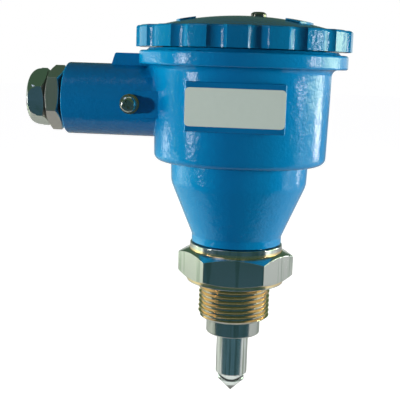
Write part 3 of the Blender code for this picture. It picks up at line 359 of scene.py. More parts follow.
def spun(path, steps=ROUND_STEPS, closed=False):
    """Bmesh turned about Z from (radius, height) points."""
    shape = profile(path)
    if closed:
        shape.verts.ensure_lookup_table()
        shape.edges.new((shape.verts[-1], shape.verts[0]))
    bmesh.ops.spin(shape, geom=shape.verts[:] + shape.edges[:], cent=(0, 0, 0), axis=(0, 0, 1),
                   dvec=(0, 0, 0), angle=math.tau, steps=steps, use_merge=True)
    bmesh.ops.remove_doubles(shape, verts=shape.verts[:], dist=1e-7)
    bmesh.ops.recalc_face_normals(shape, faces=shape.faces[:])
    return shape


def turned(name, corners, steps=ROUND_STEPS, matrix=None, closed=False, arc=5):
    """Object turned about Z from (radius, height) points, some of them with a corner radius."""
    return as_object(name, spun(rounded(corners, closed, arc), steps, closed), matrix)


def rod(name, radius, low, high, steps, matrix=None, edge=0):
    """Round bar or cutter about Z, with a rounded top edge where one is given."""
    rim = (radius, high, edge) if edge else (radius, high)
    return turned(name, [(0, low), (radius, low), rim, (0, high)], steps, matrix, arc=3)


def prism(outline, low, high):
    """Bmesh prism of an outline of (x, y) points, made by one extrusion."""
    shape = bmesh.new()
    face = shape.faces.new([shape.verts.new((point[0], point[1], low)) for point in outline])
    grown = bmesh.ops.extrude_face_region(shape, geom=[face])
    raised = [item for item in grown["geom"] if isinstance(item, bmesh.types.BMVert)]
    bmesh.ops.translate(shape, verts=raised, vec=(0, 0, high - low))
    bmesh.ops.recalc_face_normals(shape, faces=shape.faces[:])
    return shape


def soften(shape, offset, segments):
    """Rounds every edge of a bmesh."""
    bmesh.ops.bevel(shape, geom=shape.edges[:], offset=offset, segments=segments, profile=0.5, affect='EDGES',
                    material=-1, clamp_overlap=True)


def rectangle(half_width, half_height, corner_r):
    """Outline of a rectangle with rounded corners, for rounded()."""
    return [(-half_width, -half_height, corner_r), (half_width, -half_height, corner_r),
            (half_width, half_height, corner_r), (-half_width, half_height, corner_r)]


def hexagon(across_flats, turn):
    """Corners of a hexagon, the first one at the angle turn in degrees."""
    corner_r = across_flats / 2 / math.cos(math.pi / 6)
    angles = [math.radians(turn) + math.tau * index / 6 for index in range(6)]
    return [(corner_r * math.cos(angle), corner_r * math.sin(angle)) for angle in angles]


def apply_modifiers(target):
    """Replaces the object's mesh by its evaluated one."""
    bpy.context.view_layer.update()
    depsgraph = bpy.context.evaluated_depsgraph_get()
    evaluated = bpy.data.meshes.new_from_object(target.evaluated_get(depsgraph))
    old = target.data
    target.modifiers.clear()
    target.data = evaluated
    bpy.data.meshes.remove(old)


def combined(target, operation, helpers):
    """Applies one exact boolean of the target with all the helpers, and removes them."""
    group = bpy.data.collections.new("helpers")
    bpy.context.scene.collection.children.link(group)
    for helper in helpers:
        group.objects.link(helper)
    step = target.modifiers.new("combine", 'BOOLEAN')
    step.operation = operation
    step.solver = 'EXACT'
    step.operand_type = 'COLLECTION'
    step.collection = group
    apply_modifiers(target)
    for helper in helpers:
        bpy.data.objects.remove(helper, do_unlink=True)
    bpy.data.collections.remove(group)


def bevelled(target, width, segments, sharpest):
    """Rounds the edges that turn by more than the angle given in degrees."""
    step = target.modifiers.new("edges", 'BEVEL')
    step.width = width
    step.segments = segments
    step.limit_method = 'ANGLE'
    step.angle_limit = math.radians(sharpest)
    apply_modifiers(target)


def hexagon_piece(name, across_flats, turn, low, high, low_r, high_r, edge):
    """Hexagon with both faces chamfered from the radii given, and broken edges."""
    made = as_object(name, prism(hexagon(across_flats, turn), low, high))
    outer = across_flats / 2 / math.cos(math.pi / 6) + 0.4 * MM
    slope = math.tan(math.radians(25))
    envelope = turned("envelope", [(0, low), (low_r, low), (outer, low + (outer - low_r) * slope),
                                   (outer, high - (outer - high_r) * slope), (high_r, high), (0, high)])
    combined(made, 'INTERSECT', [envelope])
    bevelled(made, edge, 2, 30)
    return made


def thread_shape(crest_r, depth, pitch, low, high, end_chamfer, steps=96):
    """Right-handed external V thread with rounded crests, closed by flat ends at low and high."""
    flat = pitch * 0.17
    flank = (pitch - 2 * flat) / 2
    shoulder_r = crest_r - depth * 0.12
    tooth = [(crest_r - depth, 0), (crest_r - depth, flat), (shoulder_r, flat + flank * 0.88),
             (crest_r, flat + flank + flat * 0.30), (crest_r, flat + flank + flat * 0.70),
             (shoulder_r, flat + flank * 1.12 + flat), (crest_r - depth, pitch)]
    turns = math.ceil((high - low) / pitch) + 2
    shape = profile([(radius, low - pitch + height) for radius, height in tooth])
    bmesh.ops.spin(shape, geom=shape.verts[:] + shape.edges[:], cent=(0, 0, 0), axis=(0, 0, 1),
                   dvec=(0, 0, pitch / steps), angle=math.tau * turns, steps=steps * turns)
    bmesh.ops.remove_doubles(shape, verts=shape.verts[:], dist=1e-6)
    for height, outward in ((low, (0, 0, -1)), (high, (0, 0, 1))):
        bmesh.ops.bisect_plane(shape, geom=shape.verts[:] + shape.edges[:] + shape.faces[:], dist=1e-7,
                               plane_co=(0, 0, height), plane_no=outward, clear_outer=True)
    for vert in shape.verts:
        allowed = crest_r - end_chamfer + max(0.0, vert.co.z - low)
        radius = math.hypot(vert.co.x, vert.co.y)
        if radius > allowed:
            vert.co.x *= allowed / radius
            vert.co.y *= allowed / radius
    open_edges = [edge for edge in shape.edges if edge.is_boundary]
    bmesh.ops.edgeloop_fill(shape, edges=open_edges)
    bmesh.ops.recalc_face_normals(shape, faces=shape.faces[:])
    return shape


def shaded(target, sharp_angle=32, weighted=True):
    """Smooth shading that keeps real edges sharp and large faces flat."""
    target.data.shade_smooth()
    target.data.set_sharp_from_angle(angle=math.radians(sharp_angle))
    if weighted:
        step = target.modifiers.new("flat_faces", 'WEIGHTED_NORMAL')
        step.keep_sharp = True
    return target


def finished(target, body, material, replaced):
    """Gives a piece its finish, lets it ride on its body and hides the solid it stands for."""
    target.data.materials.clear()
    target.data.materials.append(material)
    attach(target, body)
    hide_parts(replaced)


def object_place(tree):
    """Object coordinates."""
    return tree.nodes.new('ShaderNodeTexCoord').outputs["Object"]


def link_bump(tree, height, strength):
    """Normal of a bump of a tenth of a millimetre at strength 1."""
    node = tree.nodes.new('ShaderNodeBump')
    node.inputs["Distance"].default_value = BUMP_DISTANCE
    feed(tree, strength, node.inputs["Strength"])
    tree.links.new(height, node.inputs["Height"])
    return node.outputs[0]


def link_band(tree, value, rising, falling):
    """Mask that is full between two ramps, each given as where it is 0 and where it is 1."""
    return link_math(tree, 'MULTIPLY', link_range(tree, value, *rising), link_range(tree, value, *falling))


def link_streaks(tree, scale, stretch, edge, light, dark):
    """Colour of drawn bar, with lines along Z."""
    lines = link_noise(tree, object_place(tree), scale, (1, 1, stretch))
    return link_mix(tree, link_range(tree, lines, *edge), (*light, 1), (*dark, 1))


def new_group(name, inputs, outputs):
    """Shader node group with named sockets; an input with no default is a vector."""
    group = bpy.data.node_groups.new(name, 'ShaderNodeTree')
    for label, default in inputs:
        kind = 'NodeSocketVector' if default is None else 'NodeSocketFloat'
        socket = group.interface.new_socket(name=label, in_out='INPUT', socket_type=kind)
        if default is not None:
            socket.default_value = default
    for label, kind in outputs:
        group.interface.new_socket(name=label, in_out='OUTPUT', socket_type=kind)
    return group, group.nodes.new('NodeGroupInput').outputs, group.nodes.new('NodeGroupOutput').inputs


def tool_marks_group():
    """Fine marks of a lathe or a mill: bump and roughness from noise stretched across the cut."""
    group, given, result = new_group(
        "tool_marks",
        (("Vector", None), ("Scale", 900.0), ("Strength", 0.1), ("Roughness", 0.25), ("Spread", 0.12)),
        (("Normal", 'NodeSocketVector'), ("Roughness", 'NodeSocketFloat')))
    noise = link_noise(group, given["Vector"], given["Scale"], detail=3.0)
    group.links.new(link_bump(group, noise, given["Strength"]), result["Normal"])
    swing = link_math(group, 'MULTIPLY', link_math(group, 'SUBTRACT', noise, 0.5), given["Spread"])
    group.links.new(link_math(group, 'ADD', given["Roughness"], swing), result["Roughness"])
    return group


TOOL_MARKS = tool_marks_group()


def metal(name, roughness, scale, strength, colour=None, stretch=(1, 1, 1)):
    """Bare metal with the marks of its machining; without a colour, one is linked to it later."""
    material, tree, shader = new_material(name)
    if colour:
        shader.inputs["Base Color"].default_value = (*colour, 1)
    shader.inputs["Metallic"].default_value = 1.0
    mapping = tree.nodes.new('ShaderNodeMapping')
    mapping.inputs["Scale"].default_value = stretch
    tree.links.new(object_place(tree), mapping.inputs["Vector"])
    marks = tree.nodes.new('ShaderNodeGroup')
    marks.node_tree = TOOL_MARKS
    tree.links.new(mapping.outputs[0], marks.inputs["Vector"])
    for label, value in (("Scale", scale), ("Strength", strength), ("Roughness", roughness)):
        marks.inputs[label].default_value = value
    tree.links.new(marks.outputs["Normal"], shader.inputs["Normal"])
    tree.links.new(marks.outputs["Roughness"], shader.inputs["Roughness"])
    return material


fitting_steel = metal("turned_steel", 0.16, 700.0, 0.05, stretch=TURNED_STRETCH)
tree = fitting_steel.node_tree
split = tree.nodes.new('ShaderNodeSeparateXYZ')
tree.links.new(object_place(tree), split.inputs[0])
height = split.outputs[2]
from_axis = link_math(tree, 'SQRT', link_math(tree, 'ADD', link_math(tree, 'POWER', split.outputs[0], 2.0),
                                             link_math(tree, 'POWER', split.outputs[1], 2.0)))
# Painted reflection: the thread's crests and the bands under the ring and under the hexagon take a golden
# tint.
off_root = link_range(tree, from_axis, THREAD_ROOT_R - 0.2 * MM, THREAD_R - 0.6 * MM)
on_crest = link_math(tree, 'MULTIPLY', off_root, link_band(
    tree, height, (THREAD_END, THREAD_END + 1.5 * MM), (0.2 * MM, -0.4 * MM)))
under_ring = link_band(tree, height, (HEX_TOP - 0.2 * MM, HEX_TOP + 0.1 * MM),
                       (HEX_TOP + 1.1 * MM, HEX_TOP + 0.6 * MM))
under_hex = link_band(tree, height, (0.2 * MM, 0.8 * MM), (COLLAR_TOP + 0.6 * MM, COLLAR_TOP - 0.2 * MM))
painted_gold_reflection = link_math(tree, 'MAXIMUM', on_crest, link_math(tree, 'MAXIMUM', under_ring, under_hex))
streaked = link_streaks(tree, 420.0, 0.05, (0.54, 0.66), BAR_LIGHT, BAR_DARK)
tree.links.new(link_mix(tree, painted_gold_reflection, streaked, GOLD_PAINTED_REFLECTION), tree.nodes["Principled BSDF"].inputs["Base Color"])

fitting = hexagon_piece("fitting", HEX_FLATS, HEX_TURN, COLLAR_TOP, HEX_TOP, COLLAR_R + 0.3 * MM,
                        RING_R + 0.2 * MM, 0.12 * MM)
core = turned("core", [
    (0, FITTING_LOW.z), (NOSE_R, FITTING_LOW.z, 0.5 * MM), (NOSE_R, THREAD_END + 0.2 * MM),
    (THREAD_ROOT_R - 0.1 * MM, THREAD_END + 0.2 * MM), (THREAD_ROOT_R - 0.1 * MM, 0),
    (COLLAR_R, 0, 0.25 * MM), (COLLAR_R, COLLAR_TOP + 0.4 * MM), (HEX_CORE_R, COLLAR_TOP + 2 * MM),
    (HEX_CORE_R, HEX_TOP - 1 * MM), (RING_R, HEX_TOP - 0.5 * MM), (RING_R, RING_TOP, 0.4 * MM),
    (GROOVE_OUT_R, RING_TOP), (GROOVE_OUT_R, GROOVE_FLOOR), (GROOVE_IN_R, GROOVE_FLOOR),
    (GROOVE_IN_R, RING_TOP), (SPIGOT_R, RING_TOP), (SPIGOT_R, FITTING_HIGH.z, 0.4 * MM),
    (0, FITTING_HIGH.z)])
thread = as_object("thread", thread_shape(THREAD_R, THREAD_DEPTH, THREAD_PITCH, THREAD_END, THREAD_RUNOUT,
                                          THREAD_CHAMFER))
combined(fitting, 'UNION', [core, thread])
combined(fitting, 'DIFFERENCE', [rod("bore", FITTING_BORE_R, FITTING_LOW.z - MM, FITTING_HIGH.z + MM, 64)])
finished(shaded(fitting), "housing", fitting_steel, "process_fitting")


# Probe
# A polished stainless sleeve closed by a glass prism with a 90 degree cone, and the optics behind it.
SLEEVE_LOW, SLEEVE_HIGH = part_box("probe_sleeve")
SLEEVE_R = 5.9 * MM
SLEEVE_BORE_R = 4.6 * MM
PRISM_LOW, PRISM_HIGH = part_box("glass_prism")
PRISM_R = 4.9 * MM
PRISM_HEAD_TOP = -36.3 * MM
PRISM_SHANK_R = 4.3 * MM
PRISM_GROOVE_LOW = -33.3 * MM
PRISM_GROOVE_HIGH = -31.6 * MM
PRISM_GROOVE_R = 2.9 * MM
SLEEVE_LIGHT = (0.94, 0.96, 0.98)
SLEEVE_DARK = (0.50, 0.55, 0.50)
GLASS_COLOUR = (0.74, 0.80, 0.77, 1)

sleeve_steel = metal("polished_sleeve", 0.20, 900.0, 0.14, stretch=(1.0, 1.0, 0.05))
tree = sleeve_steel.node_tree
tree.links.new(link_streaks(tree, 700.0, 0.04, (0.45, 0.66), SLEEVE_LIGHT, SLEEVE_DARK),
               tree.nodes["Principled BSDF"].inputs["Base Color"])
sleeve = turned("sleeve", [
    (SLEEVE_BORE_R, SLEEVE_LOW.z, 0.1 * MM), (SLEEVE_R, SLEEVE_LOW.z, 0.55 * MM),
    (SLEEVE_R, SLEEVE_HIGH.z, 0.1 * MM), (SLEEVE_BORE_R, SLEEVE_HIGH.z, 0.1 * MM)], 96, closed=True)
finished(shaded(sleeve), "housing", sleeve_steel, "probe_sleeve")

glass, tree, shader = new_material("prism_glass")
shader.inputs["Base Color"].default_value = GLASS_COLOUR
shader.inputs["Roughness"].default_value = 0.02
shader.inputs["Transmission Weight"].default_value = 1.0
shader.inputs["IOR"].default_value = 1.50
glass_prism = turned("prism", [
    (0, PRISM_LOW.z), (PRISM_R, PRISM_LOW.z + PRISM_R, 0.15 * MM), (PRISM_R, PRISM_HEAD_TOP, 0.1 * MM),
    (PRISM_SHANK_R, PRISM_HEAD_TOP), (PRISM_SHANK_R, PRISM_GROOVE_LOW), (PRISM_GROOVE_R, PRISM_GROOVE_LOW),
    (PRISM_GROOVE_R, PRISM_GROOVE_HIGH), (PRISM_SHANK_R, PRISM_GROOVE_HIGH),
    (PRISM_SHANK_R, PRISM_HIGH.z, 0.1 * MM), (0, PRISM_HIGH.z)], 96)
finished(shaded(glass_prism, 25), "housing", glass, "glass_prism")


# Housing
# One aluminium casting with a tapered neck, a round body and flange, a cable arm and flat pads,
# machined inside and coated with blue powder that flows into a slight orange peel.
HOUSING_LOW, HOUSING_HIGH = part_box("housing")
NECK_Z = HOUSING_LOW.z
NECK_FOOT_R = 16.5 * MM
CONE_Z = 17.3 * MM
CONE_TOP_R = 24.6 * MM
CONE_TOP_Z = 36.5 * MM
NECK_TOP_R = 24.9 * MM
BODY_Z = 44.3 * MM
BODY_FOOT_R = 31.0 * MM
BODY_TOP_R = 31.8 * MM
FLANGE_Z = 78.2 * MM
FLANGE_R = 37.25 * MM
FLANGE_TOP_Z = 83.2 * MM
LAND_R = 34.7 * MM
ARM_R = 13.0 * MM
ARM_Z = 65.1 * MM
ARM_END = HOUSING_LOW.x
ARM_DEEP = 38 * MM
ARM_BORE_R = 8.3 * MM
SADDLE_TOP_R = 3.6 * MM
SADDLE_LOW_R = 0.4 * MM
WEB_TOP = 82.0 * MM
WEB_LEFT = -46.0 * MM
WEB_RIGHT = -28 * MM
WEB_FOOT = ARM_Z + ARM_R / 2
WEB_HALF = 3.3 * MM
EARTH_X = -38.3 * MM
EARTH_Z = 64.3 * MM
EARTH_PAD_Y = -13.9 * MM
EARTH_PAD_R = 4.7 * MM
EARTH_PAD_LEFT = EARTH_X - 4.1 * MM
LABEL_PAD_Y = -32.5 * MM
LABEL_PAD_BACK = 25 * MM
LABEL_PAD_HALF = (16.5 * MM, 8.175 * MM)
WALL = 3.3 * MM
SOCKET_R = 11.2 * MM
SOCKET_TOP = 26.0 * MM
CAVITY_FLOOR = 47.3 * MM
CAVITY_FOOT_R = 28.0 * MM
CAVITY_TOP_R = 28.4 * MM
SKIRT_Z = 75.9 * MM
LID_THREAD_R = 29.3 * MM
MOUTH_Z = 81.7 * MM
MOUTH_R = 31.7 * MM
ABOVE_HOUSING = 90 * MM
BOSS_RING = 24.0 * MM
BOSS_ANGLES = (90, 210, 330)
BOSS_R = 2.6 * MM
BOSS_TOP = 49.8 * MM
BOSS_DRILL = (45.3 * MM, 53 * MM)
PILLAR = (21.8 * MM, 0, 0)
PILLAR_R = 3.2 * MM
PILLAR_TOP = 73.0 * MM
PILLAR_DRILL = (67.0 * MM, 76 * MM)
EARTH_DRILL = (-4.2 * MM, 3 * MM)
BOSS_FOOT = 46.9 * MM
BOSS_EDGE = 0.2 * MM
TIE_CENTRE = (25.65 * MM, 0, 59.95 * MM)
TIE_SIZE = (7.7 * MM, 4.0 * MM, 26.1 * MM)
SCREW_HOLE_R = 1.8 * MM
PAINT_BLUE = (0.0003, 0.131, 0.335)
# Painted shade: the lid's blue is the body's powder made about a fifth darker.
SHADED_LID_BLUE = (0.0003, 0.112, 0.270)
ALONG_ARM = Matrix.Translation((ARM_END, 0, ARM_Z)) @ Matrix.Rotation(math.pi / 2, 4, 'Y')
FACE_FRONT = Matrix.Rotation(math.pi / 2, 4, 'X')
ON_EARTH_PAD = Matrix.Translation((EARTH_X, EARTH_PAD_Y, EARTH_Z)) @ FACE_FRONT


def orange_peel_group():
    """Sprayed or powdered paint: slow waves and a fine ripple as one normal."""
    group, given, result = new_group("orange_peel", (("Scale", 1000.0), ("Strength", 0.1)),
                                     (("Normal", 'NodeSocketVector'),))
    place = object_place(group)
    ripple = link_noise(group, place, given["Scale"], detail=3.0)
    waves = link_noise(group, place, link_math(group, 'MULTIPLY', given["Scale"], 0.28), detail=1.0)
    height = link_math(group, 'ADD', link_math(group, 'MULTIPLY', ripple, 2.0),
                       link_math(group, 'MULTIPLY', waves, 2.5))
    group.links.new(link_bump(group, height, given["Strength"]), result["Normal"])
    return group


ORANGE_PEEL = orange_peel_group()


def speckled(name, scale, dark, light, roughness):
    """Material whose colour wanders between two tones; also returns its noise."""
    material, tree, shader = new_material(name)
    noise = link_noise(tree, object_place(tree), scale)
    tree.links.new(link_mix(tree, noise, (*dark, 1), (*light, 1)), shader.inputs["Base Color"])
    shader.inputs["Roughness"].default_value = roughness
    return material, noise


def paint(name, colour):
    """Glossy powder coat."""
    material = speckled(name, 60.0, [c * 0.94 for c in colour], [c * 1.06 for c in colour], 0.11)[0]
    tree = material.node_tree
    peel = tree.nodes.new('ShaderNodeGroup')
    peel.node_tree = ORANGE_PEEL
    peel.inputs["Strength"].default_value = 0.60
    tree.links.new(peel.outputs["Normal"], tree.nodes["Principled BSDF"].inputs["Normal"])
    return material


blue_paint = paint("blue_paint", PAINT_BLUE)
# Painted shade: the lid gets a darker copy of the body's paint.
shaded_lid_paint = paint("shaded_lid_paint", SHADED_LID_BLUE)


def block(centre, size, rotation=None):
    """Bmesh box."""
    shape = bmesh.new()
    bmesh.ops.create_cube(shape, size=1.0, matrix=Matrix.LocRotScale(centre, rotation, size))
    return shape


def saddle_ring():
    """Closed ring under a ball that rolls in the corner between arm and body, largest on top."""
    shape = bmesh.new()
    around = 96
    across = 8
    nudge = 0.02 * MM
    rows = []
    for turn in range(around):
        angle = math.tau * turn / around
        ball_r = SADDLE_LOW_R + (SADDLE_TOP_R - SADDLE_LOW_R) * max(0.0, math.cos(angle)) ** 2
        ball_y = (ARM_R + ball_r) * math.sin(angle)
        ball_z = (ARM_R + ball_r) * math.cos(angle)
        body_r = BODY_FOOT_R + (BODY_TOP_R - BODY_FOOT_R) * (ARM_Z + ball_z - BODY_Z) / (FLANGE_Z - BODY_Z)
        ball_x = -math.sqrt((body_r + ball_r) ** 2 - ball_y ** 2)
        centre = Vector((ball_x, ball_y, ARM_Z + ball_z))
        to_arm = Vector((0, -math.sin(angle), -math.cos(angle)))
        to_body = Vector((-ball_x, -ball_y, 0)).normalized()
        row = []
        for index in range(across + 1):
            reach = ball_r + (nudge if index in (0, across) else 0)
            row.append(shape.verts.new(centre + swung(to_arm, to_body, index / across) * reach))
        row.append(shape.verts.new(centre + (to_arm + to_body) * (ball_r + MM)))
        rows.append(row)
    for row, after in zip(rows, rows[1:] + rows[:1]):
        for index in range(len(row)):
            following = (index + 1) % len(row)
            shape.faces.new((row[index], row[following], after[following], after[index]))
    bmesh.ops.recalc_face_normals(shape, faces=shape.faces[:])
    return shape


body_path = divided(rounded([
    (0, NECK_Z), (NECK_FOOT_R, NECK_Z, 0.3 * MM), (NECK_FOOT_R, CONE_Z, 2.0 * MM),
    (CONE_TOP_R, CONE_TOP_Z, 8.0 * MM), (NECK_TOP_R, BODY_Z, 0.5 * MM), (BODY_FOOT_R, BODY_Z, 2.5 * MM),
    (BODY_TOP_R, FLANGE_Z, 2.2 * MM), (FLANGE_R, FLANGE_Z, 0.8 * MM), (FLANGE_R, FLANGE_TOP_Z, 0.9 * MM),
    (LAND_R, FLANGE_TOP_Z, 0.2 * MM), (LAND_R - 1.0 * MM, HOUSING_HIGH.z, 0.2 * MM), (0, HOUSING_HIGH.z)],
    steps=6), 3 * MM)
casting = as_object("casting", spun(body_path))
barrel_path = divided(rounded([(0, 0), (ARM_R, 0, 0.5 * MM), (ARM_R, ARM_DEEP), (0, ARM_DEEP)]), 3 * MM)
barrel = as_object("barrel", spun(barrel_path, 112), ALONG_ARM)
saddle = as_object("saddle", saddle_ring())
web_shape = prism(rounded([(WEB_LEFT, WEB_TOP, 0.8 * MM), (WEB_RIGHT, WEB_TOP), (WEB_RIGHT, WEB_FOOT),
                           (WEB_LEFT - 3.2 * MM, WEB_FOOT)], closed=True), -WEB_HALF, WEB_HALF)
soften(web_shape, 0.5 * MM, 3)
web = as_object("web", web_shape, FACE_FRONT)
pad_outline = rounded([
    (EARTH_PAD_LEFT, EARTH_Z + EARTH_PAD_R, 4.69 * MM), (EARTH_PAD_LEFT, EARTH_Z - EARTH_PAD_R, 4.69 * MM),
    (-CAVITY_FOOT_R, EARTH_Z - EARTH_PAD_R), (-CAVITY_FOOT_R, EARTH_Z + EARTH_PAD_R)], closed=True, steps=14)
earth_pad = as_object("earth_pad", prism(pad_outline, ARM_BORE_R, -EARTH_PAD_Y), FACE_FRONT)
label_block = block((0, (LABEL_PAD_Y - LABEL_PAD_BACK) / 2, ARM_Z),
                    (2 * LABEL_PAD_HALF[0], -LABEL_PAD_Y - LABEL_PAD_BACK, 2 * LABEL_PAD_HALF[1]))
soften(label_block, 0.5 * MM, 4)
label_pad = as_object("label_pad", label_block)
combined(casting, 'UNION', [barrel, saddle, web, earth_pad, label_pad])

cone_slope = (CONE_TOP_R - NECK_FOOT_R) / (CONE_TOP_Z - CONE_Z)
cone_angle = math.atan(cone_slope)
socket_edge_r = NECK_FOOT_R + cone_slope * (SOCKET_TOP - CONE_Z) - WALL / math.cos(cone_angle)
cavity = turned("cavity", [
    (0, NECK_Z - WALL), (SOCKET_R, NECK_Z - WALL), (SOCKET_R, SOCKET_TOP, 0.3 * MM),
    (socket_edge_r, SOCKET_TOP, 0.6 * MM), (CONE_TOP_R - WALL, CONE_TOP_Z + WALL * math.tan(cone_angle / 2)),
    (CONE_TOP_R - WALL, CAVITY_FLOOR, 0.4 * MM), (CAVITY_FOOT_R, CAVITY_FLOOR, 0.6 * MM),
    (CAVITY_TOP_R, SKIRT_Z - 0.4 * MM, 0.3 * MM), (LID_THREAD_R, SKIRT_Z - 0.4 * MM), (LID_THREAD_R, MOUTH_Z),
    (MOUTH_R, MOUTH_Z), (MOUTH_R, ABOVE_HOUSING), (0, ABOVE_HOUSING)], 96, arc=3)
boss_places = [Matrix.Translation((BOSS_RING * math.cos(angle), BOSS_RING * math.sin(angle), 0))
               for angle in map(math.radians, BOSS_ANGLES)]
at_pillar = Matrix.Translation(PILLAR)
bosses = [rod("boss", BOSS_R, BOSS_FOOT, BOSS_TOP, 32, place, BOSS_EDGE) for place in boss_places]
pillar = rod("pillar", PILLAR_R, BOSS_FOOT, PILLAR_TOP, 32, at_pillar, BOSS_EDGE)
combined(cavity, 'DIFFERENCE', bosses + [pillar, as_object("tie", block(TIE_CENTRE, TIE_SIZE))])
cuts = [cavity, rod("arm_bore", ARM_BORE_R, -2 * MM, ARM_DEEP + MM, 64, ALONG_ARM)]
cuts += [rod("hole", SCREW_HOLE_R, *BOSS_DRILL, 24, place) for place in boss_places]
cuts += [rod("hole", SCREW_HOLE_R, *PILLAR_DRILL, 24, at_pillar),
         rod("hole", SCREW_HOLE_R, *EARTH_DRILL, 24, ON_EARTH_PAD)]
combined(casting, 'DIFFERENCE', cuts)
finished(shaded(casting, 34), "housing", blue_paint, "housing")


# Rating label
# Thin film label on the flat pad, left blank.
LABEL_LOW, LABEL_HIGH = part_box("rating_label")
LABEL_CORNER = 1.4 * MM
FILM_DARK = (0.560, 0.630, 0.575)
FILM_LIGHT = (0.595, 0.665, 0.610)

label_film = speckled("label_film", 500.0, FILM_DARK, FILM_LIGHT, 0.40)[0]
label_half = (LABEL_HIGH - LABEL_LOW) / 2
label_outline = rounded(rectangle(label_half.x, label_half.z, LABEL_CORNER), closed=True, steps=8)
label = as_object("label", prism(label_outline, -LABEL_HIGH.y, -LABEL_LOW.y),
                  Matrix.Translation((0, 0, (LABEL_LOW.z + LABEL_HIGH.z) / 2)) @ FACE_FRONT)
finished(shaded(label, 30), "housing", label_film, "rating_label")


# Earth screw on the arm's pad
# Pan-head cross-recess screw in stainless steel, over a split spring washer and a yellow flat washer.
SCREW_HEAD_R = 2.8 * MM
SCREW_HEAD_TOP = 1.8 * MM
SCREW_HEAD_SIDE = 1.15 * MM
SCREW_CROWN_R = 1.9 * MM
SHANK_R = 1.5 * MM
RECESS_SIZE = (3.7 * MM, 0.95 * MM, 2.2 * MM)
RECESS_CENTRE = (0, 0, 1.7 * MM)
RECESS_TURNS = (20, 110)
RECESS_TAPER = 0.6
WASHER_BORE_R = 1.8 * MM
WASHER_STACK = 2.2 * MM
EARTH_SHANK = 5.9 * MM
# Outer radius, underside and top, from the pad's face.
FLAT_WASHER = (3.5 * MM, 0.3 * MM, 0.8 * MM)
SPRING_WASHER = (3.1 * MM, 1.1 * MM, 1.9 * MM)
SPLIT_CENTRE = (0, 2.5 * MM, 1.5 * MM)
SPLIT_SIZE = (0.5 * MM, 3 * MM, 3 * MM)
SPLIT_LEAN = math.radians(25)
SCREW_STEEL = (0.50, 0.51, 0.47)
WASHER_GOLD = (0.56, 0.40, 0.20)


def screw(name, shank, matrix):
    """Pan-head M3 screw with a cross recess; the head's underside is local z = 0."""
    made = turned(name, [(0, -shank), (SHANK_R, -shank, 0.3 * MM), (SHANK_R, 0), (SCREW_HEAD_R, 0, 0.15 * MM),
                         (SCREW_HEAD_R, SCREW_HEAD_SIDE, 0.5 * MM), (SCREW_CROWN_R, SCREW_HEAD_TOP, 1.5 * MM),
                         (0, SCREW_HEAD_TOP)], 48, arc=6)
    cutters = []
    for turn in RECESS_TURNS:
        shape = block(RECESS_CENTRE, RECESS_SIZE)
        bmesh.ops.rotate(shape, verts=shape.verts[:], matrix=Matrix.Rotation(math.radians(turn), 3, 'Z'))
        for vert in shape.verts:
            if vert.co.z < RECESS_CENTRE[2]:
                vert.co.x *= RECESS_TAPER
                vert.co.y *= RECESS_TAPER
        cutters.append(as_object("recess", shape))
    combined(made, 'DIFFERENCE', cutters)
    made.data.transform(matrix)
    return shaded(made, 35)


def washer(name, inner, outer, low, high, matrix, steps=64):
    """Stamped washer with broken edges."""
    return turned(name, [(inner, low, 0.06 * MM), (outer, low, 0.1 * MM), (outer, high, 0.1 * MM),
                         (inner, high, 0.06 * MM)], steps, matrix, closed=True, arc=2)


screw_steel = metal("screw_steel", 0.16, 1500.0, 0.06, SCREW_STEEL)
washer_gold = metal("yellow_washer", 0.24, 1500.0, 0.08, WASHER_GOLD)
on_washers = Matrix.Translation((EARTH_X, EARTH_PAD_Y - WASHER_STACK, EARTH_Z)) @ FACE_FRONT
earth_screw = screw("earth_screw", EARTH_SHANK, on_washers)
finished(earth_screw, "ground_screw", screw_steel, "ground_screw")
flat_washer = washer("earth_washer", WASHER_BORE_R, *FLAT_WASHER, ON_EARTH_PAD)
finished(shaded(flat_washer), "ground_washers", washer_gold, "ground_flat_washer")
spring_washer = washer("spring_washer", WASHER_BORE_R, *SPRING_WASHER, ON_EARTH_PAD)
spring_gap = block(SPLIT_CENTRE, SPLIT_SIZE, Matrix.Rotation(SPLIT_LEAN, 3, 'Y').to_quaternion())
combined(spring_washer, 'DIFFERENCE', [as_object("split", spring_gap, ON_EARTH_PAD)])
finished(shaded(spring_washer), "ground_washers", screw_steel, "ground_spring_washer")


# Cable gland
# Nickel-plated brass body screwed into the arm over a black washer, with a dome nut on its end.
GLAND_SEAT = Matrix.Translation((ARM_END, 0, ARM_Z)) @ Matrix.Rotation(-math.pi / 2, 4, 'Y')
GLAND_FLATS = 20.7 * MM
GLAND_TURN = 8
GLAND_HEX_LOW = 1.3 * MM
GLAND_HEX_HIGH = 6.5 * MM
GLAND_CHAMFER_R = 9.95 * MM
GLAND_SCREWED_R = 8.0 * MM
GLAND_SCREWED_END = -10 * MM
GLAND_NECK_R = 7.3 * MM
GLAND_NECK_END = 10.1 * MM
GLAND_BORE_R = 5.2 * MM
GLAND_SEAL_R = 6.0 * MM
GLAND_SEAL_SEAT = 6.1 * MM
GLAND_TAPER = (1.7 * MM, 6.1 * MM)
GLAND_DRILL = (-12 * MM, 13 * MM)
NUT_FLATS = 18.5 * MM
NUT_TURN = 52
NUT_LOW = 7.05 * MM
NUT_HIGH = 14.15 * MM
NUT_FACE_R = 8.85 * MM
NUT_COLLAR_R = 11.1 * MM
NUT_COLLAR = (8.1 * MM, 9.05 * MM)
NUT_DOME_R = 10.4 * MM
NUT_DOME_FOOT = 10.4 * MM
NUT_DOME_EDGE = 3.69 * MM
NUT_THREAD_R = 7.6 * MM
NUT_THREAD_END = 12.1 * MM
NUT_BORE_R = 4.6 * MM
NUT_DRILL = (5 * MM, 16 * MM)
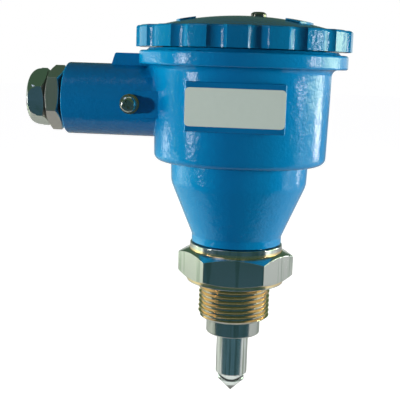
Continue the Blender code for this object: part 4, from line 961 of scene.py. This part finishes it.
# Inner and outer radius, near and far end, from the arm's face.
GASKET = (8.3 * MM, 9.8 * MM, 0.3 * MM, 1.0 * MM)
CABLE_SEAL = (4.2 * MM, 5.7 * MM, 6.4 * MM, 10.8 * MM)
THRUST_RING = (4.6 * MM, 7.2 * MM, 11.1 * MM, 11.8 * MM)
NICKEL = (0.58, 0.60, 0.58)
MILLED_NICKEL = (0.56, 0.52, 0.50)
RUBBER_DARK = (0.012, 0.012, 0.013)
RUBBER_LIGHT = (0.026, 0.026, 0.028)

nickel = metal("nickel_plate", 0.09, 260.0, 0.30, NICKEL)
milled_nickel = metal("milled_nickel", 0.40, 700.0, 0.08, MILLED_NICKEL)
black_rubber = speckled("black_rubber", 900.0, RUBBER_DARK, RUBBER_LIGHT, 0.65)[0]

gasket = washer("gland_gasket", *GASKET, GLAND_SEAT, 96)
finished(shaded(gasket), "housing", black_rubber, "gland_washer")

gland_hex = hexagon_piece("gland", GLAND_FLATS, GLAND_TURN, GLAND_HEX_LOW, GLAND_HEX_HIGH, GLAND_CHAMFER_R,
                          GLAND_CHAMFER_R, 0.15 * MM)
gland_core = turned("core", [
    (0, GLAND_SCREWED_END), (GLAND_SCREWED_R, GLAND_SCREWED_END, 0.4 * MM),
    (GLAND_SCREWED_R, GLAND_TAPER[0]), (GLAND_NECK_R, GLAND_TAPER[1]),
    (GLAND_NECK_R, GLAND_NECK_END, 0.3 * MM), (0, GLAND_NECK_END)], 96)
combined(gland_hex, 'UNION', [gland_core])
gland_bore = turned("bore", [
    (0, GLAND_DRILL[0]), (GLAND_BORE_R, GLAND_DRILL[0]), (GLAND_BORE_R, GLAND_SEAL_SEAT),
    (GLAND_SEAL_R, GLAND_SEAL_SEAT), (GLAND_SEAL_R, GLAND_DRILL[1]), (0, GLAND_DRILL[1])], 64)
combined(gland_hex, 'DIFFERENCE', [gland_bore])
gland_hex.data.transform(GLAND_SEAT)
finished(shaded(gland_hex), "housing", milled_nickel, "gland_body")

nut = as_object("dome_nut", prism(hexagon(NUT_FLATS, NUT_TURN), NUT_LOW, NUT_HIGH))
nut_outside = turned("envelope", [
    (0, NUT_LOW), (NUT_FACE_R, NUT_LOW, 0.2 * MM), (NUT_COLLAR_R, NUT_COLLAR[0]),
    (NUT_COLLAR_R, NUT_COLLAR[1]), (NUT_DOME_R, NUT_DOME_FOOT), (NUT_DOME_R, NUT_HIGH, NUT_DOME_EDGE),
    (0, NUT_HIGH)], arc=12)
combined(nut, 'INTERSECT', [nut_outside])
nut_bore = turned("bore", [
    (0, NUT_DRILL[0]), (NUT_THREAD_R, NUT_DRILL[0]), (NUT_THREAD_R, NUT_THREAD_END),
    (NUT_BORE_R, NUT_THREAD_END), (NUT_BORE_R, NUT_DRILL[1]), (0, NUT_DRILL[1])], 96)
combined(nut, 'DIFFERENCE', [nut_bore])
bevelled(nut, 0.9 * MM, 6, 28)
nut.data.transform(GLAND_SEAT)
finished(shaded(nut), "gland_dome_nut", nickel, "gland_dome_nut")

cable_seal = washer("cable_seal", *CABLE_SEAL, GLAND_SEAT, 72)
finished(shaded(cable_seal), "housing", black_rubber, "gland_seal")
thrust_ring = washer("thrust_ring", *THRUST_RING, GLAND_SEAT, 72)
finished(shaded(thrust_ring), "gland_thrust_ring", nickel, "gland_thrust_ring")


# Lid
# Cast and painted screw lid: scalloped rim, shallow dome with two raised cast pads, screwed skirt.
LID_R = 38.4 * MM
LID_Z = 84.4 * MM
RIM_TOP = 91.65 * MM
RIM_TOP_EDGE = 0.9 * MM
RIM_LOW_EDGE = 0.45 * MM
LOBES = 18
LOBE_TURN = math.radians(0.5)
SCALLOP_DEPTH = 1.5 * MM
DOME_R = 32.0 * MM
DOME_RISE = 4.5 * MM
SKIRT_R = 29.0 * MM
SKIRT_BORE_R = 26.2 * MM
LID_INNER_TOP = 86 * MM
LID_WALL = 3.0 * MM
DOME_SPHERE_R = (DOME_R ** 2 + DOME_RISE ** 2) / (2 * DOME_RISE)
DOME_CENTRE = RIM_TOP + DOME_RISE - DOME_SPHERE_R
PAD_IN_R = 18.2 * MM
PAD_OUT_R = 24.4 * MM
PAD_CORNER = 0.7 * MM
PAD_HEIGHT = 0.6 * MM
PAD_SPANS = ((-190, -154), (-38, 10))
COVER_R = 30 * MM
LID_SCREW = (4.8 * MM, 2.0 * MM, 0)
LID_BOSS = (3.5 * MM, 90.2 * MM, 94.5 * MM)
LID_HOLE_FOOT = 91.7 * MM
LID_SHANK = 4.1 * MM
SPOT_R = 3.4 * MM
SPOT_DEPTH = 0.3 * MM
ABOVE_LID = 99 * MM
# Darker steel for the lid's screw.
DARK_LID_SCREW_STEEL = (0.26, 0.24, 0.20)


def scalloped_row(inset, roundness):
    """One row of the rim; roundness 0 is the scalloped outline, 1 a plain circle."""
    half_pitch = math.pi / LOBES
    half_groove = half_pitch / 2
    half_chord = LID_R * math.sin(half_groove)
    depth = SCALLOP_DEPTH - LID_R * (1 - math.cos(half_groove))
    groove_r = (half_chord ** 2 + depth ** 2) / (2 * depth)
    sweep = math.asin(half_chord / groove_r)
    land_steps = 6
    groove_steps = 10
    row = []
    for lobe in range(LOBES):
        middle = LOBE_TURN - math.pi / 2 + 2 * half_pitch * lobe
        for step in range(1, land_steps):
            angle = middle + half_groove * (2 * step / land_steps - 1)
            row.append(Vector((math.cos(angle), math.sin(angle))) * LID_R)
        groove_middle = middle + half_pitch
        outward = Vector((math.cos(groove_middle), math.sin(groove_middle)))
        across = Vector((-outward.y, outward.x))
        for step in range(groove_steps + 1):
            angle = sweep * (2 * step / groove_steps - 1)
            distance = LID_R - SCALLOP_DEPTH + groove_r * (1 - math.cos(angle))
            row.append(outward * distance + across * groove_r * math.sin(angle))
    rim_r = LID_R - inset
    return [point * (rim_r / LID_R) * (1 - roundness) + point.normalized() * rim_r * roundness
            for point in row]


def lofted(rows):
    """Bmesh drawn from ring to ring by extruding the open edge; both ends close in a pole."""
    shape = bmesh.new()
    first = [shape.verts.new(point) for point in rows[0]]
    edges = [shape.edges.new((first[index - 1], first[index])) for index in range(len(first))]
    ring = first
    for row in rows[1:]:
        grown = bmesh.ops.extrude_edge_only(shape, edges=edges)
        edges = [item for item in grown["geom"] if isinstance(item, bmesh.types.BMEdge) and item.is_boundary]
        following = []
        for vert, point in zip(ring, row):
            others = (edge.other_vert(vert) for edge in vert.link_edges)
            twin = next(other for other in others
                        if other not in ring and other.is_boundary and (other.co - vert.co).length < 1e-9)
            twin.co = point
            following.append(twin)
        ring = following
    bmesh.ops.pointmerge(shape, verts=ring, merge_co=(0, 0, rows[-1][0][2]))
    bmesh.ops.pointmerge(shape, verts=first, merge_co=(0, 0, rows[0][0][2]))
    bmesh.ops.recalc_face_normals(shape, faces=shape.faces[:])
    return shape


outline = scalloped_row(0, 0)


def ring_row(radius, height):
    """Round row that lines up with the rim's points."""
    return [(*(point.normalized() * radius), height) for point in outline]


def rim_row(height, inset=0, roundness=0):
    """Scalloped row at a height."""
    return [(*point, height) for point in scalloped_row(inset, roundness)]


def dome_rows(sphere_r, reach, steps):
    """Rows of a dome from its reach to just short of the pole."""
    angles = [math.asin(reach / sphere_r) * (1 - index / steps) for index in range(steps)]
    return [ring_row(sphere_r * math.sin(angle), DOME_CENTRE + sphere_r * math.cos(angle))
            for angle in angles]


rows = dome_rows(DOME_SPHERE_R - LID_WALL, SKIRT_BORE_R, 12)[::-1]
rows += [ring_row(SKIRT_BORE_R, LID_INNER_TOP), ring_row(SKIRT_BORE_R, SKIRT_Z + 0.3 * MM),
         ring_row(SKIRT_BORE_R + 0.3 * MM, SKIRT_Z), ring_row(SKIRT_R - 0.8 * MM, SKIRT_Z),
         ring_row(SKIRT_R, SKIRT_Z + 0.8 * MM), ring_row(SKIRT_R, LID_Z - 0.2 * MM),
         ring_row(SKIRT_R + 0.2 * MM, LID_Z), rim_row(LID_Z, 2.2 * MM, 0.6)]
rows += [rim_row(LID_Z + RIM_LOW_EDGE * (1 - math.sin(angle)), RIM_LOW_EDGE * (1 - math.sin(angle)))
         for angle in (math.pi / 2 * index / 5 for index in range(6))]
rows += [rim_row(LID_Z + RIM_LOW_EDGE + (RIM_TOP - RIM_TOP_EDGE - LID_Z - RIM_LOW_EDGE) * index / 4)
         for index in range(1, 5)]
rows += [rim_row(RIM_TOP - RIM_TOP_EDGE * (1 - math.sin(angle)), RIM_TOP_EDGE * (1 - math.cos(angle)))
         for angle in (math.pi / 2 * index / 7 for index in range(1, 8))]
rows += [rim_row(RIM_TOP, RIM_TOP_EDGE + (LID_R - DOME_R - RIM_TOP_EDGE - 0.8 * MM) * index / 5, index / 5)
         for index in range(1, 5)]
rows += [ring_row(DOME_R + 0.5 * MM, RIM_TOP + 0.02 * MM), ring_row(DOME_R, RIM_TOP + 0.09 * MM)]
rows += dome_rows(DOME_SPHERE_R, DOME_R - 0.6 * MM, 16)
lid = as_object("screw_lid", lofted(rows))


def cast_pad(first, last):
    """Raised arc on the dome with rounded corners, as high above it everywhere."""
    middle_r = (PAD_IN_R + PAD_OUT_R) / 2
    half = (PAD_OUT_R - PAD_IN_R) / 2
    reach = middle_r * math.radians(last - first) / 2
    middle = math.radians(first + last) / 2
    flat = rounded(rectangle(reach, half, PAD_CORNER), closed=True)
    flat = divided(flat + [flat[0]], 1 * MM)[:-1]
    bent = [((middle_r + point.y) * math.cos(middle - point.x / middle_r),
             (middle_r + point.y) * math.sin(middle - point.x / middle_r)) for point in flat]
    pad = as_object("pad", prism(bent, RIM_TOP, RIM_TOP + 9 * MM))
    cover_r = DOME_SPHERE_R + PAD_HEIGHT
    angles = [math.asin(COVER_R / cover_r) * (1 - index / 24) for index in range(25)]
    cover = [(cover_r * math.sin(angle), DOME_CENTRE + cover_r * math.cos(angle)) for angle in angles]
    combined(pad, 'INTERSECT', [turned("cover", [(0, LID_Z), (COVER_R, LID_Z)] + cover, 96)])
    bevelled(pad, 0.25 * MM, 3, 40)
    return pad


at_lid_screw = Matrix.Translation(LID_SCREW)
screw_seat = DOME_CENTRE + math.sqrt(DOME_SPHERE_R ** 2 - math.hypot(*LID_SCREW[:2]) ** 2)
spot_z = screw_seat - SPOT_DEPTH
boss = rod("boss", *LID_BOSS, 48, at_lid_screw)
combined(lid, 'UNION', [boss] + [cast_pad(*span) for span in PAD_SPANS])
lid_hole = turned("hole", [(0, LID_HOLE_FOOT), (SCREW_HOLE_R, LID_HOLE_FOOT), (SCREW_HOLE_R, spot_z),
                           (SPOT_R, spot_z), (SPOT_R, ABOVE_LID), (0, ABOVE_LID)], 48, at_lid_screw)
combined(lid, 'DIFFERENCE', [lid_hole])
finished(shaded(lid, 30), "lid", shaded_lid_paint, "lid")
dark_lid_screw_steel = metal("dark_lid_screw", 0.22, 1500.0, 0.08, DARK_LID_SCREW_STEEL)
lid_screw = screw("dome_screw", LID_SHANK, Matrix.Translation((*LID_SCREW[:2], spot_z + SPOT_DEPTH)))
finished(lid_screw, "lid", dark_lid_screw_steel, "lid_screw")


# Seals
# Round-section nitrile rings under the lid, on the fitting's face and round the prism.
for name, body, radius, cord_r in (("lid_o_ring", "lid_o_ring", 30.35 * MM, 1.05 * MM),
                                   ("fitting_o_ring", "housing", 12.6 * MM, 0.9 * MM),
                                   ("prism_o_ring", "housing", 3.75 * MM, 0.55 * MM)):
    low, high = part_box(name)
    centre_z = (low.z + high.z) / 2
    angles = [math.tau * index / 16 for index in range(16)]
    section = [(radius + cord_r * math.cos(angle), centre_z + cord_r * math.sin(angle)) for angle in angles]
    seal = turned(name + "_seal", section, 96, closed=True)
    finished(shaded(seal, 60, False), body, black_rubber, name)


# Electronics
# Laminate boards on nylon spacers, with moulded parts; they show when the lid is off.
def plastic(name, dark, light, roughness):
    """Moulded plastic with a fine spark-eroded texture."""
    material, grain = speckled(name, 1200.0, dark, light, roughness)
    tree = material.node_tree
    tree.links.new(link_bump(tree, grain, 0.08), tree.nodes["Principled BSDF"].inputs["Normal"])
    return material


# Slot, dark and light tone, roughness.
PLASTICS = (
    ("circuit_board", (0.012, 0.085, 0.030), (0.020, 0.120, 0.045), 0.30),
    ("white_nylon", (0.62, 0.62, 0.58), (0.70, 0.70, 0.66), 0.45),
    ("black_plastic", (0.014, 0.014, 0.016), (0.026, 0.026, 0.028), 0.42),
    ("green_plastic", (0.020, 0.150, 0.060), (0.030, 0.190, 0.080), 0.40),
    ("relay_yellow", (0.60, 0.38, 0.05), (0.68, 0.45, 0.07), 0.40),
    ("grey_lead", (0.15, 0.15, 0.16), (0.19, 0.19, 0.20), 0.50),
    ("clear_lens", (0.45, 0.50, 0.56), (0.50, 0.55, 0.60), 0.10))
finishes = {facts[0]: plastic(*facts) for facts in PLASTICS}
finishes.update(stainless=screw_steel, golden_steel=washer_gold, nickel=nickel, black_rubber=black_rubber)
slots = {entry["node"]: entry["material_slot"] for entry in frame["record"]["subparts"]}
for name, node in frame["nodes"].items():
    if not node.hide_render:
        node.data.materials.clear()
        node.data.materials.append(finishes[slots[name]])
